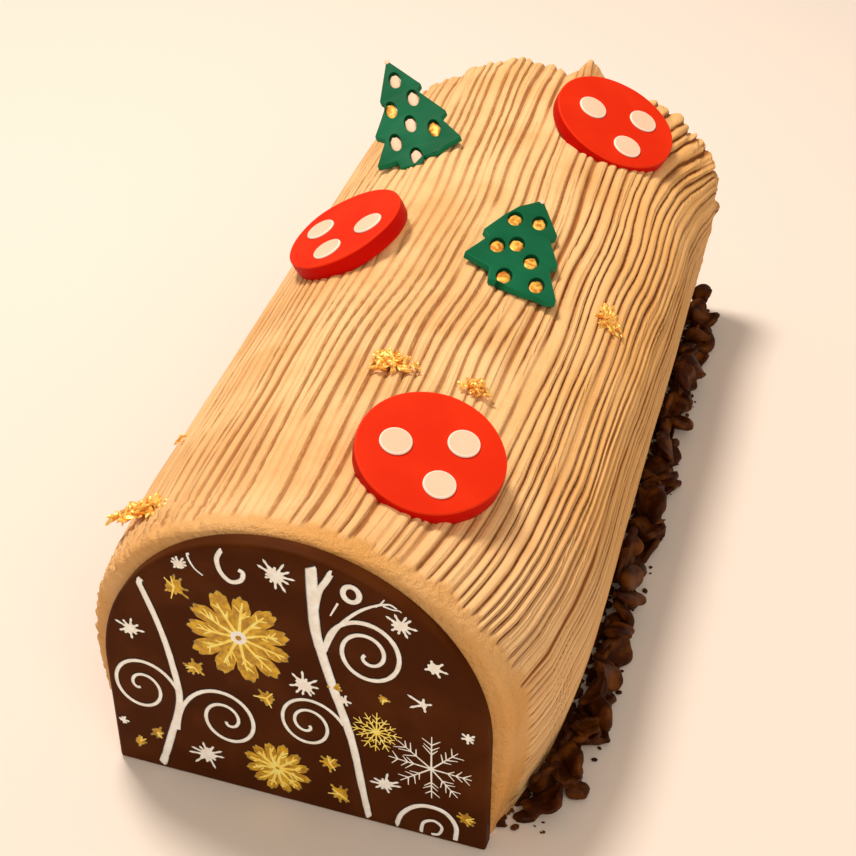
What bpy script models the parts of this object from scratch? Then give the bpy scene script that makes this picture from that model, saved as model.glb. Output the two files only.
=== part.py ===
"""Yule log cake: a combed buttercream log with a chocolate plaque on its front end,
fondant discs and fir trees on top, gold leaf, and chocolate curls along its foot.

Metres, +Z up. The log lies along Y and its front end faces -Y. The origin is the middle
of the flat base that the log rests on.
"""

import math

import bmesh
import bpy
from mathutils import Matrix, Vector, noise

MM = 0.001
GAP = 0.3 * MM                    # between pieces that touch

# ---- the log --------------------------------------------------------------------------
FRONT_Y = -118.0 * MM             # the front face of the plaque
LOG_FRONT = FRONT_Y + 4.7 * MM    # where the cream begins, behind the plaque
LOG_BACK = 118.5 * MM
HALF_WIDTH = 56.7 * MM            # at the widest, a third of the way up
FRONT_HALF_WIDTH = 49.5 * MM      # the cream draws in to the plaque
FRONT_SHIFT = -3.4 * MM           # the plaque sits a little left of the middle
HEIGHT = 78.5 * MM
FRONT_HEIGHT = 77.6 * MM
WIDEST_Z = 34.9 * MM
FOOT_SHARE = 0.90                 # the side tucks in below to this share of the width
SHOULDER = 50.0 * MM              # length over which the cream widens from the plaque
PLAQUE_YAW = math.radians(-2.9)   # the plaque isn't quite square to the log

# ---- the comb marks -------------------------------------------------------------------
RIDGES = 70
RIDGE_DEPTH = 1.25 * MM
BAND = 10.0 * MM                  # smooth cream behind the plaque
RAGGED = 1.5 * MM                 # how uneven the back edge is
BACK_ROUND = 5.0 * MM

# ---- the plaque -----------------------------------------------------------------------
PLAQUE_HALF = 45.2 * MM
PLAQUE_STRAIGHT = 31.7 * MM       # height of its straight sides, below the half circle
PLAQUE_THICK = 4.3 * MM

# ---- the fondant ----------------------------------------------------------------------
DOT_THICK = 1.0 * MM
TREE_THICK = 2.6 * MM
TREE_HOLE = 1.75 * MM

# name, (radius, thickness, dot radius), middle of the top face, all in mm, roll and pitch in
# degrees, then the dots, in mm across and along the face
DISCS = (
    ("front", (16.45, 5.2, 3.65), (18.3, -82.0, 80.4), 13.0, -12.5,
     ((-7.6, -0.8), (6.3, 4.8), (4.7, -7.8))),
    ("left", (16.75, 4.6, 4.0), (-30.3, 8.9, 77.1), -27.7, -4.3,
     ((-8.4, 3.1), (8.3, -2.5), (-2.2, -9.3))),
    ("back", (18.45, 4.2, 4.2), (27.6, 88.7, 77.2), 24.8, -7.3,
     ((-7.7, -0.1), (7.4, 6.2), (6.1, -8.6))),
)

# one side of each tree from the top down: (half width, height) in mm at tips and notches
TREE_LEFT_SIDES = (
    ((-6.0, 9.0), (-4.6, 6.6), (-10.6, -4.4), (-8.0, -7.2), (-12.6, -16.4), (-6.6, -17.0)),
    ((7.2, 10.1), (5.4, 8.2), (11.4, -4.7), (9.2, -6.6), (12.8, -16.8), (7.2, -18.0)),
)
TREE_MID_SIDES = (
    ((-4.4, 18.0), (-7.0, 11.6), (-10.2, 1.6), (-8.2, -0.4), (-12.0, -11.4), (-4.6, -13.6)),
    ((8.3, 10.4), (6.5, 8.3), (11.3, -2.8), (9.4, -5.6), (14.3, -18.4), (11.6, -19.6)),
)
TREE_LEFT_HOLES = (
    (0.3, 15.6), (3.6, 5.6), (-3.6, 4.0), (0.4, -4.4), (6.4, -9.6), (-5.4, -9.6), (-1.0, -17.9),
)
TREE_MID_HOLES = (
    (-3.8, 11.6), (2.6, 13.6), (-5.1, -3.2), (-0.6, 0.3), (4.6, -5.3), (-0.3, -15.4), (8.2, -14.6),
)

# ---- gold leaf: name, place on the log (across, along, mm), size (mm) -------------------
GOLD = (
    ("front", -46.0, -97.0, (7.6, 5.2, 1.5)),
    ("middle", 0.3, -50.0, (6.6, 5.0, 1.3)),
    ("beside_disc", 20.6, -50.6, (4.8, 3.6, 1.2)),
    ("right", 42.6, 3.0, (4.4, 5.8, 1.3)),
)

# ---- chocolate along the foot: kind, along, out from the side, length, width, turn, lean --
RIGHT_ROW = (
    ("shard", -107.5, 1.5, 9.0, 5.0, 40, 4),
    ("pebble", -98.5, 7.5, 6.0, 5.4, 10, 0),
    ("chip", -91.0, 1.0, 8.0, 6.5, 70, 58),
    ("curl", -80.5, 1.0, 9.0, 8.0, 20, 12),
    ("curl", -68.5, 0.6, 13.0, 7.5, 78, 30),
    ("curl", -53.5, 2.0, 16.0, 8.0, 84, 42),
    ("chip", -41.0, 1.6, 8.5, 7.0, 15, 18),
    ("pebble", -32.0, 2.0, 7.5, 6.5, 40, 0),
    ("chip", -17.0, 1.4, 7.5, 5.5, 65, 20),
    ("curl", -4.0, 1.0, 10.0, 7.0, 65, 26),
    ("pebble", 7.0, 1.2, 7.0, 6.0, 80, 0),
    ("curl", 18.0, 1.8, 12.0, 7.5, 60, 30),
    ("chip", 31.0, 2.2, 9.0, 7.0, 30, 24),
    ("curl", 43.5, 0.8, 11.0, 7.0, 96, 38),
    ("pebble", 57.5, 1.6, 8.5, 7.0, 10, 0),
    ("chip", 69.0, 1.4, 10.0, 8.0, 52, 30),
    ("curl", 82.5, 1.6, 11.0, 8.5, 74, 24),
    ("curl", 99.5, 2.2, 15.0, 9.0, 96, 48),
    ("shard", 112.5, 0.8, 8.0, 4.5, 80, 74),
)
LEFT_ROW = (
    ("curl", -82.0, 1.2, 12.0, 7.5, 100, 30),
    ("pebble", -66.0, 1.4, 7.0, 6.0, 30, 0),
    ("chip", -51.0, 1.4, 9.0, 7.0, 120, 26),
    ("curl", -33.0, 1.0, 13.0, 8.0, 82, 36),
    ("pebble", -15.0, 1.6, 7.5, 6.5, 60, 0),
    ("curl", 4.0, 1.2, 11.0, 7.0, 110, 28),
    ("chip", 22.0, 1.4, 9.5, 7.5, 65, 22),
    ("curl", 42.0, 1.0, 14.0, 8.0, 92, 40),
    ("pebble", 62.0, 1.4, 8.0, 6.5, 20, 0),
    ("chip", 79.0, 1.4, 9.0, 7.0, 140, 24),
    ("curl", 99.0, 1.4, 13.0, 8.0, 86, 34),
)

# ---- colours ----------------------------------------------------------------------------
CREAM = (0.66, 0.42, 0.22)
DARK_CHOCOLATE = (0.060, 0.020, 0.008)
RED = (0.75, 0.035, 0.012)
IVORY = (0.90, 0.78, 0.62)
GREEN = (0.020, 0.17, 0.085)
LEAF_GOLD = (0.90, 0.58, 0.16)


def clear_scene():
    for item in list(bpy.data.objects):
        bpy.data.objects.remove(item, do_unlink=True)


def new_collection(name):
    made = bpy.data.collections.new(name)
    bpy.context.scene.collection.children.link(made)
    return made


def material(name, colour, roughness, metallic=0.0):
    made = bpy.data.materials.new(name)
    made.use_nodes = True
    shader = made.node_tree.nodes["Principled BSDF"]
    shader.inputs["Base Color"].default_value = (*colour, 1.0)
    shader.inputs["Roughness"].default_value = roughness
    shader.inputs["Metallic"].default_value = metallic
    made.diffuse_color = (*colour, 1.0)
    return made


def add_object(name, mesh_builder, collection, colour=None, roughness=0.5, metallic=0.0):
    """Turn a bmesh into a named object with its own material."""
    mesh = bpy.data.meshes.new(name)
    bmesh.ops.recalc_face_normals(mesh_builder, faces=mesh_builder.faces)
    mesh_builder.to_mesh(mesh)
    mesh_builder.free()
    made = bpy.data.objects.new(name, mesh)
    collection.objects.link(made)
    if colour is not None:
        mesh.materials.append(material(name, colour, roughness, metallic))
    return made


def add_bevel(item, width, segments=1):
    bevel = item.modifiers.new("rounded edges", "BEVEL")
    bevel.width = width
    bevel.segments = segments
    bevel.limit_method = "ANGLE"
    bevel.angle_limit = math.radians(40)
    return bevel


def add_cut(item, cutter):
    cut = item.modifiers.new("cut", "BOOLEAN")
    cut.operation = "DIFFERENCE"
    cut.solver = "EXACT"
    cut.object = cutter
    return cut


def wobble(*key):
    """A repeatable value between -1 and 1 for a set of numbers."""
    return noise.noise(Vector((key[0] * 1.37 + 0.5, key[1] * 2.11 + 9.2, key[-1] * 0.73 + 4.7)))


# ---- the log's shape --------------------------------------------------------------------
def shoulder_share(y):
    """0 at the plaque, 1 where the cream has its full width."""
    along = min(max((y - LOG_FRONT) / SHOULDER, 0.0), 1.0)
    return 1.0 - (1.0 - along) ** 2.4


def half_width(y):
    return FRONT_HALF_WIDTH + (HALF_WIDTH - FRONT_HALF_WIDTH) * shoulder_share(y)


def middle_x(y):
    return FRONT_SHIFT * (1.0 - shoulder_share(y))


def top_height(y):
    return FRONT_HEIGHT + (HEIGHT - FRONT_HEIGHT) * shoulder_share(y)


def side_x(y, z):
    """Distance of the right side from the middle at height z."""
    if z < WIDEST_Z:
        below = (WIDEST_Z - z) / WIDEST_Z
        return half_width(y) * (1.0 - (1.0 - FOOT_SHARE) * below * below)
    rise = (z - WIDEST_Z) / (top_height(y) - WIDEST_Z)
    return half_width(y) * math.sqrt(max(1.0 - rise * rise, 0.0))


def outline(y, fine=720):
    """The section from the right foot over the top to the left foot, as (x, z)."""
    points = []
    side = fine // 6
    for i in range(side):
        z = WIDEST_Z * i / side
        points.append((side_x(y, z), z))
    arch = fine - 2 * side
    for i in range(arch + 1):
        angle = math.pi * i / arch
        x = half_width(y) * math.cos(angle)
        z = WIDEST_Z + (top_height(y) - WIDEST_Z) * math.sin(angle)
        points.append((x, z))
    for i in range(side):
        z = WIDEST_Z * (side - 1 - i) / side
        points.append((-side_x(y, z), z))
    return points


def along_outline(points, shares):
    """Points and outward normals at shares 0 to 1 of the section's length."""
    lengths = [0.0]
    for (x0, z0), (x1, z1) in zip(points, points[1:]):
        lengths.append(lengths[-1] + math.hypot(x1 - x0, z1 - z0))
    found = []
    i = 0
    for share in shares:
        target = share * lengths[-1]
        while i < len(points) - 2 and lengths[i + 1] < target:
            i += 1
        part = (target - lengths[i]) / (lengths[i + 1] - lengths[i])
        (x0, z0), (x1, z1) = points[i], points[i + 1]
        dx, dz = x1 - x0, z1 - z0
        size = math.hypot(dx, dz)
        found.append((x0 + dx * part, z0 + dz * part, dz / size, -dx / size))
    return found


def surface_point(x, y):
    """A point on the upper side of the log and its outward roll angle."""
    reach = (x - middle_x(y)) / half_width(y)
    rise = top_height(y) - WIDEST_Z
    z = WIDEST_Z + rise * math.sqrt(1.0 - reach * reach)
    roll = math.atan2(reach / half_width(y), (z - WIDEST_Z) / (rise * rise))
    return Vector((x, y, z)), roll


def ridge_shares():
    """Places round the section: a groove and two shoulders for each comb tooth."""
    edges = [(i + 0.16 * wobble(i, 3, 1)) / RIDGES for i in range(RIDGES + 1)]
    edges[0], edges[-1] = 0.0, 1.0
    found = []
    for i in range(RIDGES):
        width = edges[i + 1] - edges[i]
        depth = 1.0 + 0.35 * wobble(i, 7, 2)
        found.append((edges[i], depth if i else 0.0, i))
        found.append((edges[i] + 0.30 * width, 0.08, i))
        found.append((edges[i] + 0.70 * width, 0.08, i))
    found.append((1.0, 0.0, RIDGES))
    return found


def comb_depth(y):
    """The comb starts behind a smooth band and runs out over the back edge."""
    start = min(max((y - LOG_FRONT - BAND) / (8.0 * MM), 0.0), 1.0)
    return RIDGE_DEPTH * start


def peak(x, y):
    """A lump of cream pulled up at the back edge."""
    near = math.exp(-((x - 14.5 * MM) / (3.6 * MM)) ** 2 - ((y - LOG_BACK + 3.0 * MM) / (4.0 * MM)) ** 2)
    return 5.2 * MM * near


def log_mesh(shares, grow, combed):
    """Loft the section along the log. A station is (y, inset); the last ones round the back."""
    stations = [
        (LOG_FRONT, 0.6 * MM), (LOG_FRONT + 1.0 * MM, 0.0), (LOG_FRONT + 9.0 * MM, 0.0),
        (LOG_FRONT + 18.0 * MM, 0.0), (LOG_FRONT + 34.0 * MM, 0.0),
        (0.0, 0.0), (LOG_BACK - BACK_ROUND - 4.0 * MM, 0.0),
        (LOG_BACK - BACK_ROUND, 0.2 * MM), (LOG_BACK - 1.6 * MM, 1.0 * MM), (LOG_BACK, 3.8 * MM),
    ]
    made = bmesh.new()
    rings = []
    for number, (y, inset) in enumerate(stations):
        ring = []
        found = along_outline(outline(y), [share for share, _, _ in shares])
        skew = math.tan(PLAQUE_YAW) * (1.0 - shoulder_share(y))
        for (x, z, nx, nz), (_, depth, ridge) in zip(found, shares):
            push = grow - inset
            ragged = 0.0
            if combed:
                push -= depth * comb_depth(y)
                if number >= len(stations) - 2:
                    ragged = RAGGED * wobble(ridge * 0.31, 5, number)
            top = 1.0 if z > WIDEST_Z else 0.0
            lift = peak(x, y) * top if combed else 0.0
            low = grow and z < 1.0 * MM
            place_z = -GAP if low else max(z + nz * push, 0.0) + lift
            if z <= 0.0:
                place_z = -GAP if grow else 0.0
            place_x = x + nx * push + middle_x(y)
            ring.append(made.verts.new((place_x, y + place_x * skew + ragged, place_z)))
        rings.append(ring)
    count = len(shares)
    for near, far in zip(rings, rings[1:]):
        for i in range(count):
            j = (i + 1) % count
            made.faces.new((near[i], near[j], far[j], far[i]))
    for ring, inward in ((rings[0], 0.0), (rings[-1], -0.6 * MM)):
        x = sum(v.co.x for v in ring) / count
        y = sum(v.co.y for v in ring) / count
        hub = made.verts.new((x, y + inward, 0.42 * HEIGHT))
        for i in range(count):
            made.faces.new((ring[i], ring[(i + 1) % count], hub))
    return made


def build_log(collection, cutters):
    cream = add_object("cream_log", log_mesh(ridge_shares(), 0.0, True), collection, CREAM, 0.62)
    smooth = [(i / 110, 0.0, i) for i in range(111)]
    grown = add_object("log_with_gap", log_mesh(smooth, GAP, False), cutters)
    return cream, grown


# ---- the plaque -------------------------------------------------------------------------
def build_plaque(collection):
    """A slab with straight sides and a half-round top, standing against the front end."""
    made = bmesh.new()
    corners = [(-PLAQUE_HALF, 0.0), (PLAQUE_HALF, 0.0)]
    for i in range(33):
        angle = math.pi * i / 32
        x = PLAQUE_HALF * math.cos(angle)
        corners.append((x, PLAQUE_STRAIGHT + PLAQUE_HALF * math.sin(angle)))
    face = made.faces.new([made.verts.new((x, 0.0, z)) for x, z in corners])
    grown = bmesh.ops.extrude_face_region(made, geom=[face])
    back = [v for v in grown["geom"] if isinstance(v, bmesh.types.BMVert)]
    bmesh.ops.translate(made, verts=back, vec=(0.0, PLAQUE_THICK, 0.0))
    plaque = add_object("end_plaque", made, collection, DARK_CHOCOLATE, 0.34)
    plaque.location = (FRONT_SHIFT, FRONT_Y, 0.0)
    plaque.rotation_euler = (0.0, 0.0, PLAQUE_YAW)
    add_bevel(plaque, 0.5 * MM)
    return plaque


# ---- fondant ----------------------------------------------------------------------------
def orient(place, roll, pitch, spin=0.0):
    """Lie flat at a place: roll leans to +X, pitch lifts or lowers the far edge, spin turns."""
    turned = Matrix.Rotation(roll, 4, "Y") @ Matrix.Rotation(-pitch, 4, "X")
    return Matrix.Translation(place) @ turned @ Matrix.Rotation(spin, 4, "Z")


def slab(radius, thick, sides):
    """A round slab whose top face is at z = 0."""
    made = bmesh.new()
    bmesh.ops.create_cone(
        made, cap_ends=True, segments=sides, radius1=radius, radius2=radius, depth=thick,
    )
    bmesh.ops.translate(made, verts=made.verts, vec=(0.0, 0.0, -thick / 2))
    return made


def build_discs(collection, grown_log):
    for name, sizes, place, roll, pitch, dots in DISCS:
        radius, thick, dot_radius = (size * MM for size in sizes)
        where = orient(Vector(place) * MM, math.radians(roll), math.radians(pitch))
        disc = add_object("disc_" + name, slab(radius, thick, 32), collection, RED, 0.5)
        disc.matrix_world = where
        add_bevel(disc, 0.7 * MM)
        add_cut(disc, grown_log)
        for number, (across, along) in enumerate(dots, 1):
            dot = add_object(
                f"dot_{name}_{number}", slab(dot_radius, DOT_THICK, 12), collection, IVORY, 0.5,
            )
            dot.parent = disc
            dot.location = (across * MM, along * MM, DOT_THICK + GAP)
            add_bevel(dot, 0.3 * MM)


def tree_mesh(sides, apex, foot):
    """The flat outline of a fir, thickened: three tiers of branches and a wavy foot."""
    left, right = sides
    outline_points = [apex]
    outline_points += right
    outline_points += foot
    outline_points += reversed(left)
    made = bmesh.new()
    face = made.faces.new([made.verts.new((x * MM, y * MM, 0.0)) for x, y in outline_points])
    grown = bmesh.ops.extrude_face_region(made, geom=[face])
    top = [v for v in grown["geom"] if isinstance(v, bmesh.types.BMVert)]
    bmesh.ops.translate(made, verts=top, vec=(0.0, 0.0, TREE_THICK))
    return made


def build_tree(name, sides, apex, foot, holes, where, collection, cutters, grown_log):
    tree = add_object(name, tree_mesh(sides, apex, foot), collection, GREEN, 0.45)
    tree.matrix_world = where
    add_bevel(tree, 0.45 * MM)
    punch = bmesh.new()
    for across, along in holes:
        spot = Matrix.Translation((across * MM, along * MM, TREE_THICK / 2))
        bmesh.ops.create_cone(
            punch, cap_ends=True, segments=10, radius1=TREE_HOLE, radius2=TREE_HOLE,
            depth=3 * TREE_THICK, matrix=spot,
        )
    cutter = add_object(name + "_holes", punch, cutters)
    cutter.matrix_world = where
    add_cut(tree, cutter)
    add_cut(tree, grown_log)
    return tree


def build_trees(collection, cutters, grown_log):
    leaning = orient(
        Vector((-30.9, 71.6, 78.2)) * MM,
        math.radians(-10.8), math.radians(-20.6), math.radians(25.1),
    )
    build_tree(
        "tree_left", TREE_LEFT_SIDES, (-0.1, 25.4),
        ((5.0, -19.6), (0.8, -18.8), (-2.2, -20.9), (-6.4, -20.3)),
        TREE_LEFT_HOLES, leaning, collection, cutters, grown_log,
    )
    lying = orient(Vector((16.2, 8.4, 76.1)) * MM, math.radians(14.0), 0.0)
    build_tree(
        "tree_middle", TREE_MID_SIDES, (0.9, 25.0),
        ((8.8, -19.0), (6.2, -19.5), (1.6, -19.4), (-1.4, -18.8), (-3.6, -18.7)),
        TREE_MID_HOLES, lying, collection, cutters, grown_log,
    )


# ---- gold leaf --------------------------------------------------------------------------
def build_gold(collection, grown_log):
    """Crumpled dabs of leaf, pressed on the cream."""
    for number, (name, across, along, size) in enumerate(GOLD):
        made = bmesh.new()
        bmesh.ops.create_icosphere(made, subdivisions=2, radius=1.0)
        for vert in made.verts:
            crumple = 1.0 + 0.55 * wobble(vert.co.x * 2.3, vert.co.y * 1.9 + number * 3.1, vert.co.z)
            vert.co.x *= size[0] * MM * crumple
            vert.co.y *= size[1] * MM * (2.0 - crumple)
            vert.co.z *= size[2] * MM * crumple
        place, roll = surface_point(across * MM, along * MM)
        leaf = add_object("gold_leaf_" + name, made, collection, LEAF_GOLD, 0.3, 1.0)
        leaf.matrix_world = orient(place, roll, 0.0) @ Matrix.Translation((0.0, 0.0, 0.7 * MM))
        add_cut(leaf, grown_log)


# ---- chocolate --------------------------------------------------------------------------
def curl_mesh(length, width, key):
    """A shaving: a strip rolled across its width, wider in the middle than at its ends."""
    made = bmesh.new()
    bmesh.ops.create_grid(made, x_segments=3, y_segments=5, size=0.5)
    roll_radius = width * 0.42
    for vert in made.verts:
        along = vert.co.x
        across = vert.co.y
        narrow = 1.0 - 1.1 * along * along + 0.12 * wobble(along * 5, across * 4, key)
        angle = math.radians(205) * across * narrow
        swell = roll_radius * (1.0 + 0.25 * across)
        vert.co.x = length * along
        vert.co.y = swell * math.sin(angle)
        vert.co.z = swell * (1.0 - math.cos(angle)) + 0.8 * MM * wobble(along * 3, key, across)
    return made


def chip_mesh(length, width, thick, key, sides=7):
    """A broken flake: an uneven many-sided slab."""
    made = bmesh.new()
    bmesh.ops.create_cone(
        made, cap_ends=True, segments=sides, radius1=0.5, radius2=0.44, depth=thick,
    )
    for vert in made.verts:
        turn = math.atan2(vert.co.y, vert.co.x)
        uneven = 1.0 + 0.3 * wobble(math.cos(turn) * 1.7, math.sin(turn) * 1.7, key)
        vert.co.x *= length * uneven
        vert.co.y *= width * uneven
        vert.co.z += 0.25 * MM * wobble(turn, key, 4)
    return made


def pebble_mesh(length, width, key):
    """A rounded lump."""
    made = bmesh.new()
    bmesh.ops.create_icosphere(made, subdivisions=2, radius=0.5)
    for vert in made.verts:
        uneven = 1.0 + 0.3 * wobble(vert.co.x * 3, vert.co.y * 3 + key, vert.co.z * 3)
        vert.co.x *= length * uneven
        vert.co.y *= width * uneven
        vert.co.z *= width * 0.8 * uneven
    return made


def settle(item, y, out, side):
    """Rest the piece on the table and push it against the log's foot, a gap clear of it."""
    graph = bpy.context.evaluated_depsgraph_get()
    shape = item.evaluated_get(graph)
    mesh = shape.to_mesh()
    points = [item.matrix_world @ v.co for v in mesh.vertices]
    shape.to_mesh_clear()
    drop = min(p.z for p in points)
    reach = max(
        side_x(p.y, max(p.z - drop, 0.0)) + side * middle_x(p.y) - side * p.x for p in points
    )
    item.location.x += side * (reach + GAP + out * MM)
    item.location.z -= drop


def build_row(prefix, row, side, collection):
    for number, (kind, y, out, length, width, turn, lean) in enumerate(row, 1):
        length *= MM
        width *= MM
        key = number * 1.7 + side * 11.3
        name = f"{kind}_{prefix}{number:02d}"
        if kind == "curl":
            made = curl_mesh(length, width, key)
        elif kind == "chip":
            made = chip_mesh(length, width, 2.4 * MM, key)
        elif kind == "shard":
            made = chip_mesh(length, width, 1.5 * MM, key, 6)
        else:
            made = pebble_mesh(length, width, key)
        piece = add_object(name, made, collection, DARK_CHOCOLATE, 0.4)
        if kind == "curl":
            wall = piece.modifiers.new("wall", "SOLIDIFY")
            wall.thickness = 1.3 * MM
            wall.offset = -1.0
        piece.rotation_euler = (math.radians(lean), 0.0, math.radians(turn))
        piece.location = (side * 56.0 * MM, y * MM, 0.0)
        bpy.context.view_layer.update()
        settle(piece, y * MM, out, side)


clear_scene()
cake = new_collection("yule_log_cake")
cutters = new_collection("cutters")
cutters.hide_render = True

cream, grown_log = build_log(cake, cutters)
build_plaque(cake)
build_discs(cake, grown_log)
build_trees(cake, cutters, grown_log)
build_gold(cake, grown_log)
build_row("r", RIGHT_ROW, 1, cake)
build_row("l", LEFT_ROW, -1, cake)

for helper in cutters.objects:
    helper.hide_render = True
    helper.display_type = "WIRE"
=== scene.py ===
# %% [markdown]
# # A yule log cake
#
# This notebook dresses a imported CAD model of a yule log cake: a half-round log of combed
# buttercream with a printed chocolate plaque on its front end, fondant discs and fir trees
# on top, dabs of gold leaf, and chocolate curls along its foot.
# We load the solids first, and note how much room they take. Everything that we add later
# has to stay inside that box.

# %% Load the solids
import math
import random

import bmesh
import bpy
from mathutils import Matrix, Vector, noise


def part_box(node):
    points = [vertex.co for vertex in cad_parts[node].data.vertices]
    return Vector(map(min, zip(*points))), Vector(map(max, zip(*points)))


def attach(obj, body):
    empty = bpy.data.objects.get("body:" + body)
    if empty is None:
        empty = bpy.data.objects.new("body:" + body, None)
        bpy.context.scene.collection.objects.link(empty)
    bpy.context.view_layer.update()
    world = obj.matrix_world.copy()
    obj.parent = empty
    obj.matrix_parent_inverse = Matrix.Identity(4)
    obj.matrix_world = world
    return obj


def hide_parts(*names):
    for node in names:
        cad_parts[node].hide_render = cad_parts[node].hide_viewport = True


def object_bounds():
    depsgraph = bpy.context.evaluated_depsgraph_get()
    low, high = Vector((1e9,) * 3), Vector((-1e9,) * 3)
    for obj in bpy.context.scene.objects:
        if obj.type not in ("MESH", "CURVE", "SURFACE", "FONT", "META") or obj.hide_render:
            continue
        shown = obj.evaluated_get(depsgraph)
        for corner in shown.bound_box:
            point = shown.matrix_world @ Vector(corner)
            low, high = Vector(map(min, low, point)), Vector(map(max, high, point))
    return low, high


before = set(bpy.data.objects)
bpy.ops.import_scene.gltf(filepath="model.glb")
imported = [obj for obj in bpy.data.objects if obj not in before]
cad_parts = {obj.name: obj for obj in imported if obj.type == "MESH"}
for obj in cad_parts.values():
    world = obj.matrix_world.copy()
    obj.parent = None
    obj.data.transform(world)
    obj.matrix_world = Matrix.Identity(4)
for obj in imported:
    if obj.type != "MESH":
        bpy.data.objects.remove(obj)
box_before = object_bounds()
MM = 0.001
print("solids:", len(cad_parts), "box:", box_before)

# %% [markdown]
# ## Writing node trees as sums
#
# Both the shapes and the finishes below are node trees. Placing nodes by hand takes many
# lines, so a small class wraps one output socket and lets us write `1 - mask * 0.5` in
# Python. Each operation adds one Math node to the tree. Any other node comes from
# `Bench.node`, which takes the node's type, its settings, and what goes into its sockets.


# %% The bench that builds node trees
class Wire:
    """One output socket, with arithmetic."""

    def __init__(self, bench, socket):
        self.bench = bench
        self.socket = socket

    def other(self, name):
        """Another output of the same node."""
        return Wire(self.bench, self.socket.node.outputs[name])

    def __add__(self, value):
        return self.bench.maths("ADD", self, value)

    def __radd__(self, value):
        return self.bench.maths("ADD", value, self)

    def __sub__(self, value):
        return self.bench.maths("SUBTRACT", self, value)

    def __rsub__(self, value):
        return self.bench.maths("SUBTRACT", value, self)

    def __mul__(self, value):
        return self.bench.maths("MULTIPLY", self, value)

    def __rmul__(self, value):
        return self.bench.maths("MULTIPLY", value, self)

    def __truediv__(self, value):
        return self.bench.maths("DIVIDE", self, value)

    def __rtruediv__(self, value):
        return self.bench.maths("DIVIDE", value, self)

    def __pow__(self, value):
        return self.bench.maths("POWER", self, value)

    def __neg__(self):
        return self.bench.maths("MULTIPLY", self, -1.0)

    def __abs__(self):
        return self.bench.maths("ABSOLUTE", self)

    def __lt__(self, value):
        return self.bench.maths("LESS_THAN", self, value)

    def __gt__(self, value):
        return self.bench.maths("GREATER_THAN", self, value)


class Bench:
    """A node tree under construction."""

    def __init__(self, tree):
        self.tree = tree

    def node(self, kind, settings=None, inputs=None, output=0):
        made = self.tree.nodes.new(kind)
        for name, value in (settings or {}).items():
            if name == "stops":
                ramp = made.color_ramp
                while len(ramp.elements) < len(value):
                    ramp.elements.new(0.5)
                for element, (place, colour) in zip(ramp.elements, value):
                    element.position = place
                    element.color = colour
            else:
                setattr(made, name, value)
        for name, value in (inputs or {}).items():
            self.plug(made.inputs[name], value)
        return Wire(self, made.outputs[output])

    def plug(self, socket, value):
        if isinstance(value, Wire):
            self.tree.links.new(value.socket, socket)
        else:
            socket.default_value = value

    def maths(self, operation, *values, clamp=False):
        made = self.tree.nodes.new("ShaderNodeMath")
        made.operation = operation
        made.use_clamp = clamp
        for socket, value in zip(made.inputs, values):
            self.plug(socket, value)
        return Wire(self, made.outputs[0])

    def vector(self, x=0.0, y=0.0, z=0.0):
        return self.node("ShaderNodeCombineXYZ", inputs={"X": x, "Y": y, "Z": z})

    def noise(self, place, scale=1.0, detail=2.0, rough=0.5, warp=0.0):
        """Smooth noise, about 0.5 in the middle."""
        return self.node(
            "ShaderNodeTexNoise",
            inputs={
                "Vector": place, "Scale": scale, "Detail": detail,
                "Roughness": rough, "Distortion": warp,
            },
        )

    def step(self, value, low, high, start=0.0, end=1.0):
        """Rises smoothly from start to end as the value goes from low to high."""
        return self.node(
            "ShaderNodeMapRange",
            {"interpolation_type": "SMOOTHSTEP"},
            {0: value, 1: low, 2: high, 3: start, 4: end},
        )

    def clamp(self, value):
        return self.maths("ADD", value, 0.0, clamp=True)

    def least(self, one, two):
        return self.maths("MINIMUM", one, two)

    def most(self, one, two):
        return self.maths("MAXIMUM", one, two)

    def blend(self, share, one, two):
        """Mix two colours."""
        return self.node(
            "ShaderNodeMix", {"data_type": "RGBA"}, {0: share, 6: one, 7: two}, output=2,
        )


def shape_tree(name, sizes):
    """A Geometry Nodes tree with named inputs. Returns the bench and a wire for each input."""
    tree = bpy.data.node_groups.new(name, "GeometryNodeTree")
    tree.interface.new_socket("Geometry", in_out="INPUT", socket_type="NodeSocketGeometry")
    for label, value in sizes.items():
        kind = "NodeSocketInt" if isinstance(value, int) else "NodeSocketFloat"
        tree.interface.new_socket(label, in_out="INPUT", socket_type=kind)
    tree.interface.new_socket("Geometry", in_out="OUTPUT", socket_type="NodeSocketGeometry")
    bench = Bench(tree)
    start = tree.nodes.new("NodeGroupInput")
    wires = {socket.name: Wire(bench, socket) for socket in start.outputs if socket.name}
    return bench, wires


def finish_tree(bench, geometry, finish):
    """End the tree as every tree here ends: real mesh, with its finish on it."""
    solid = bench.node("GeometryNodeRealizeInstances", inputs={"Geometry": geometry})
    dressed = bench.node(
        "GeometryNodeSetMaterial", inputs={"Geometry": solid, "Material": finish},
    )
    end = bench.tree.nodes.new("NodeGroupOutput")
    bench.tree.links.new(dressed.socket, end.inputs[0])


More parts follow.
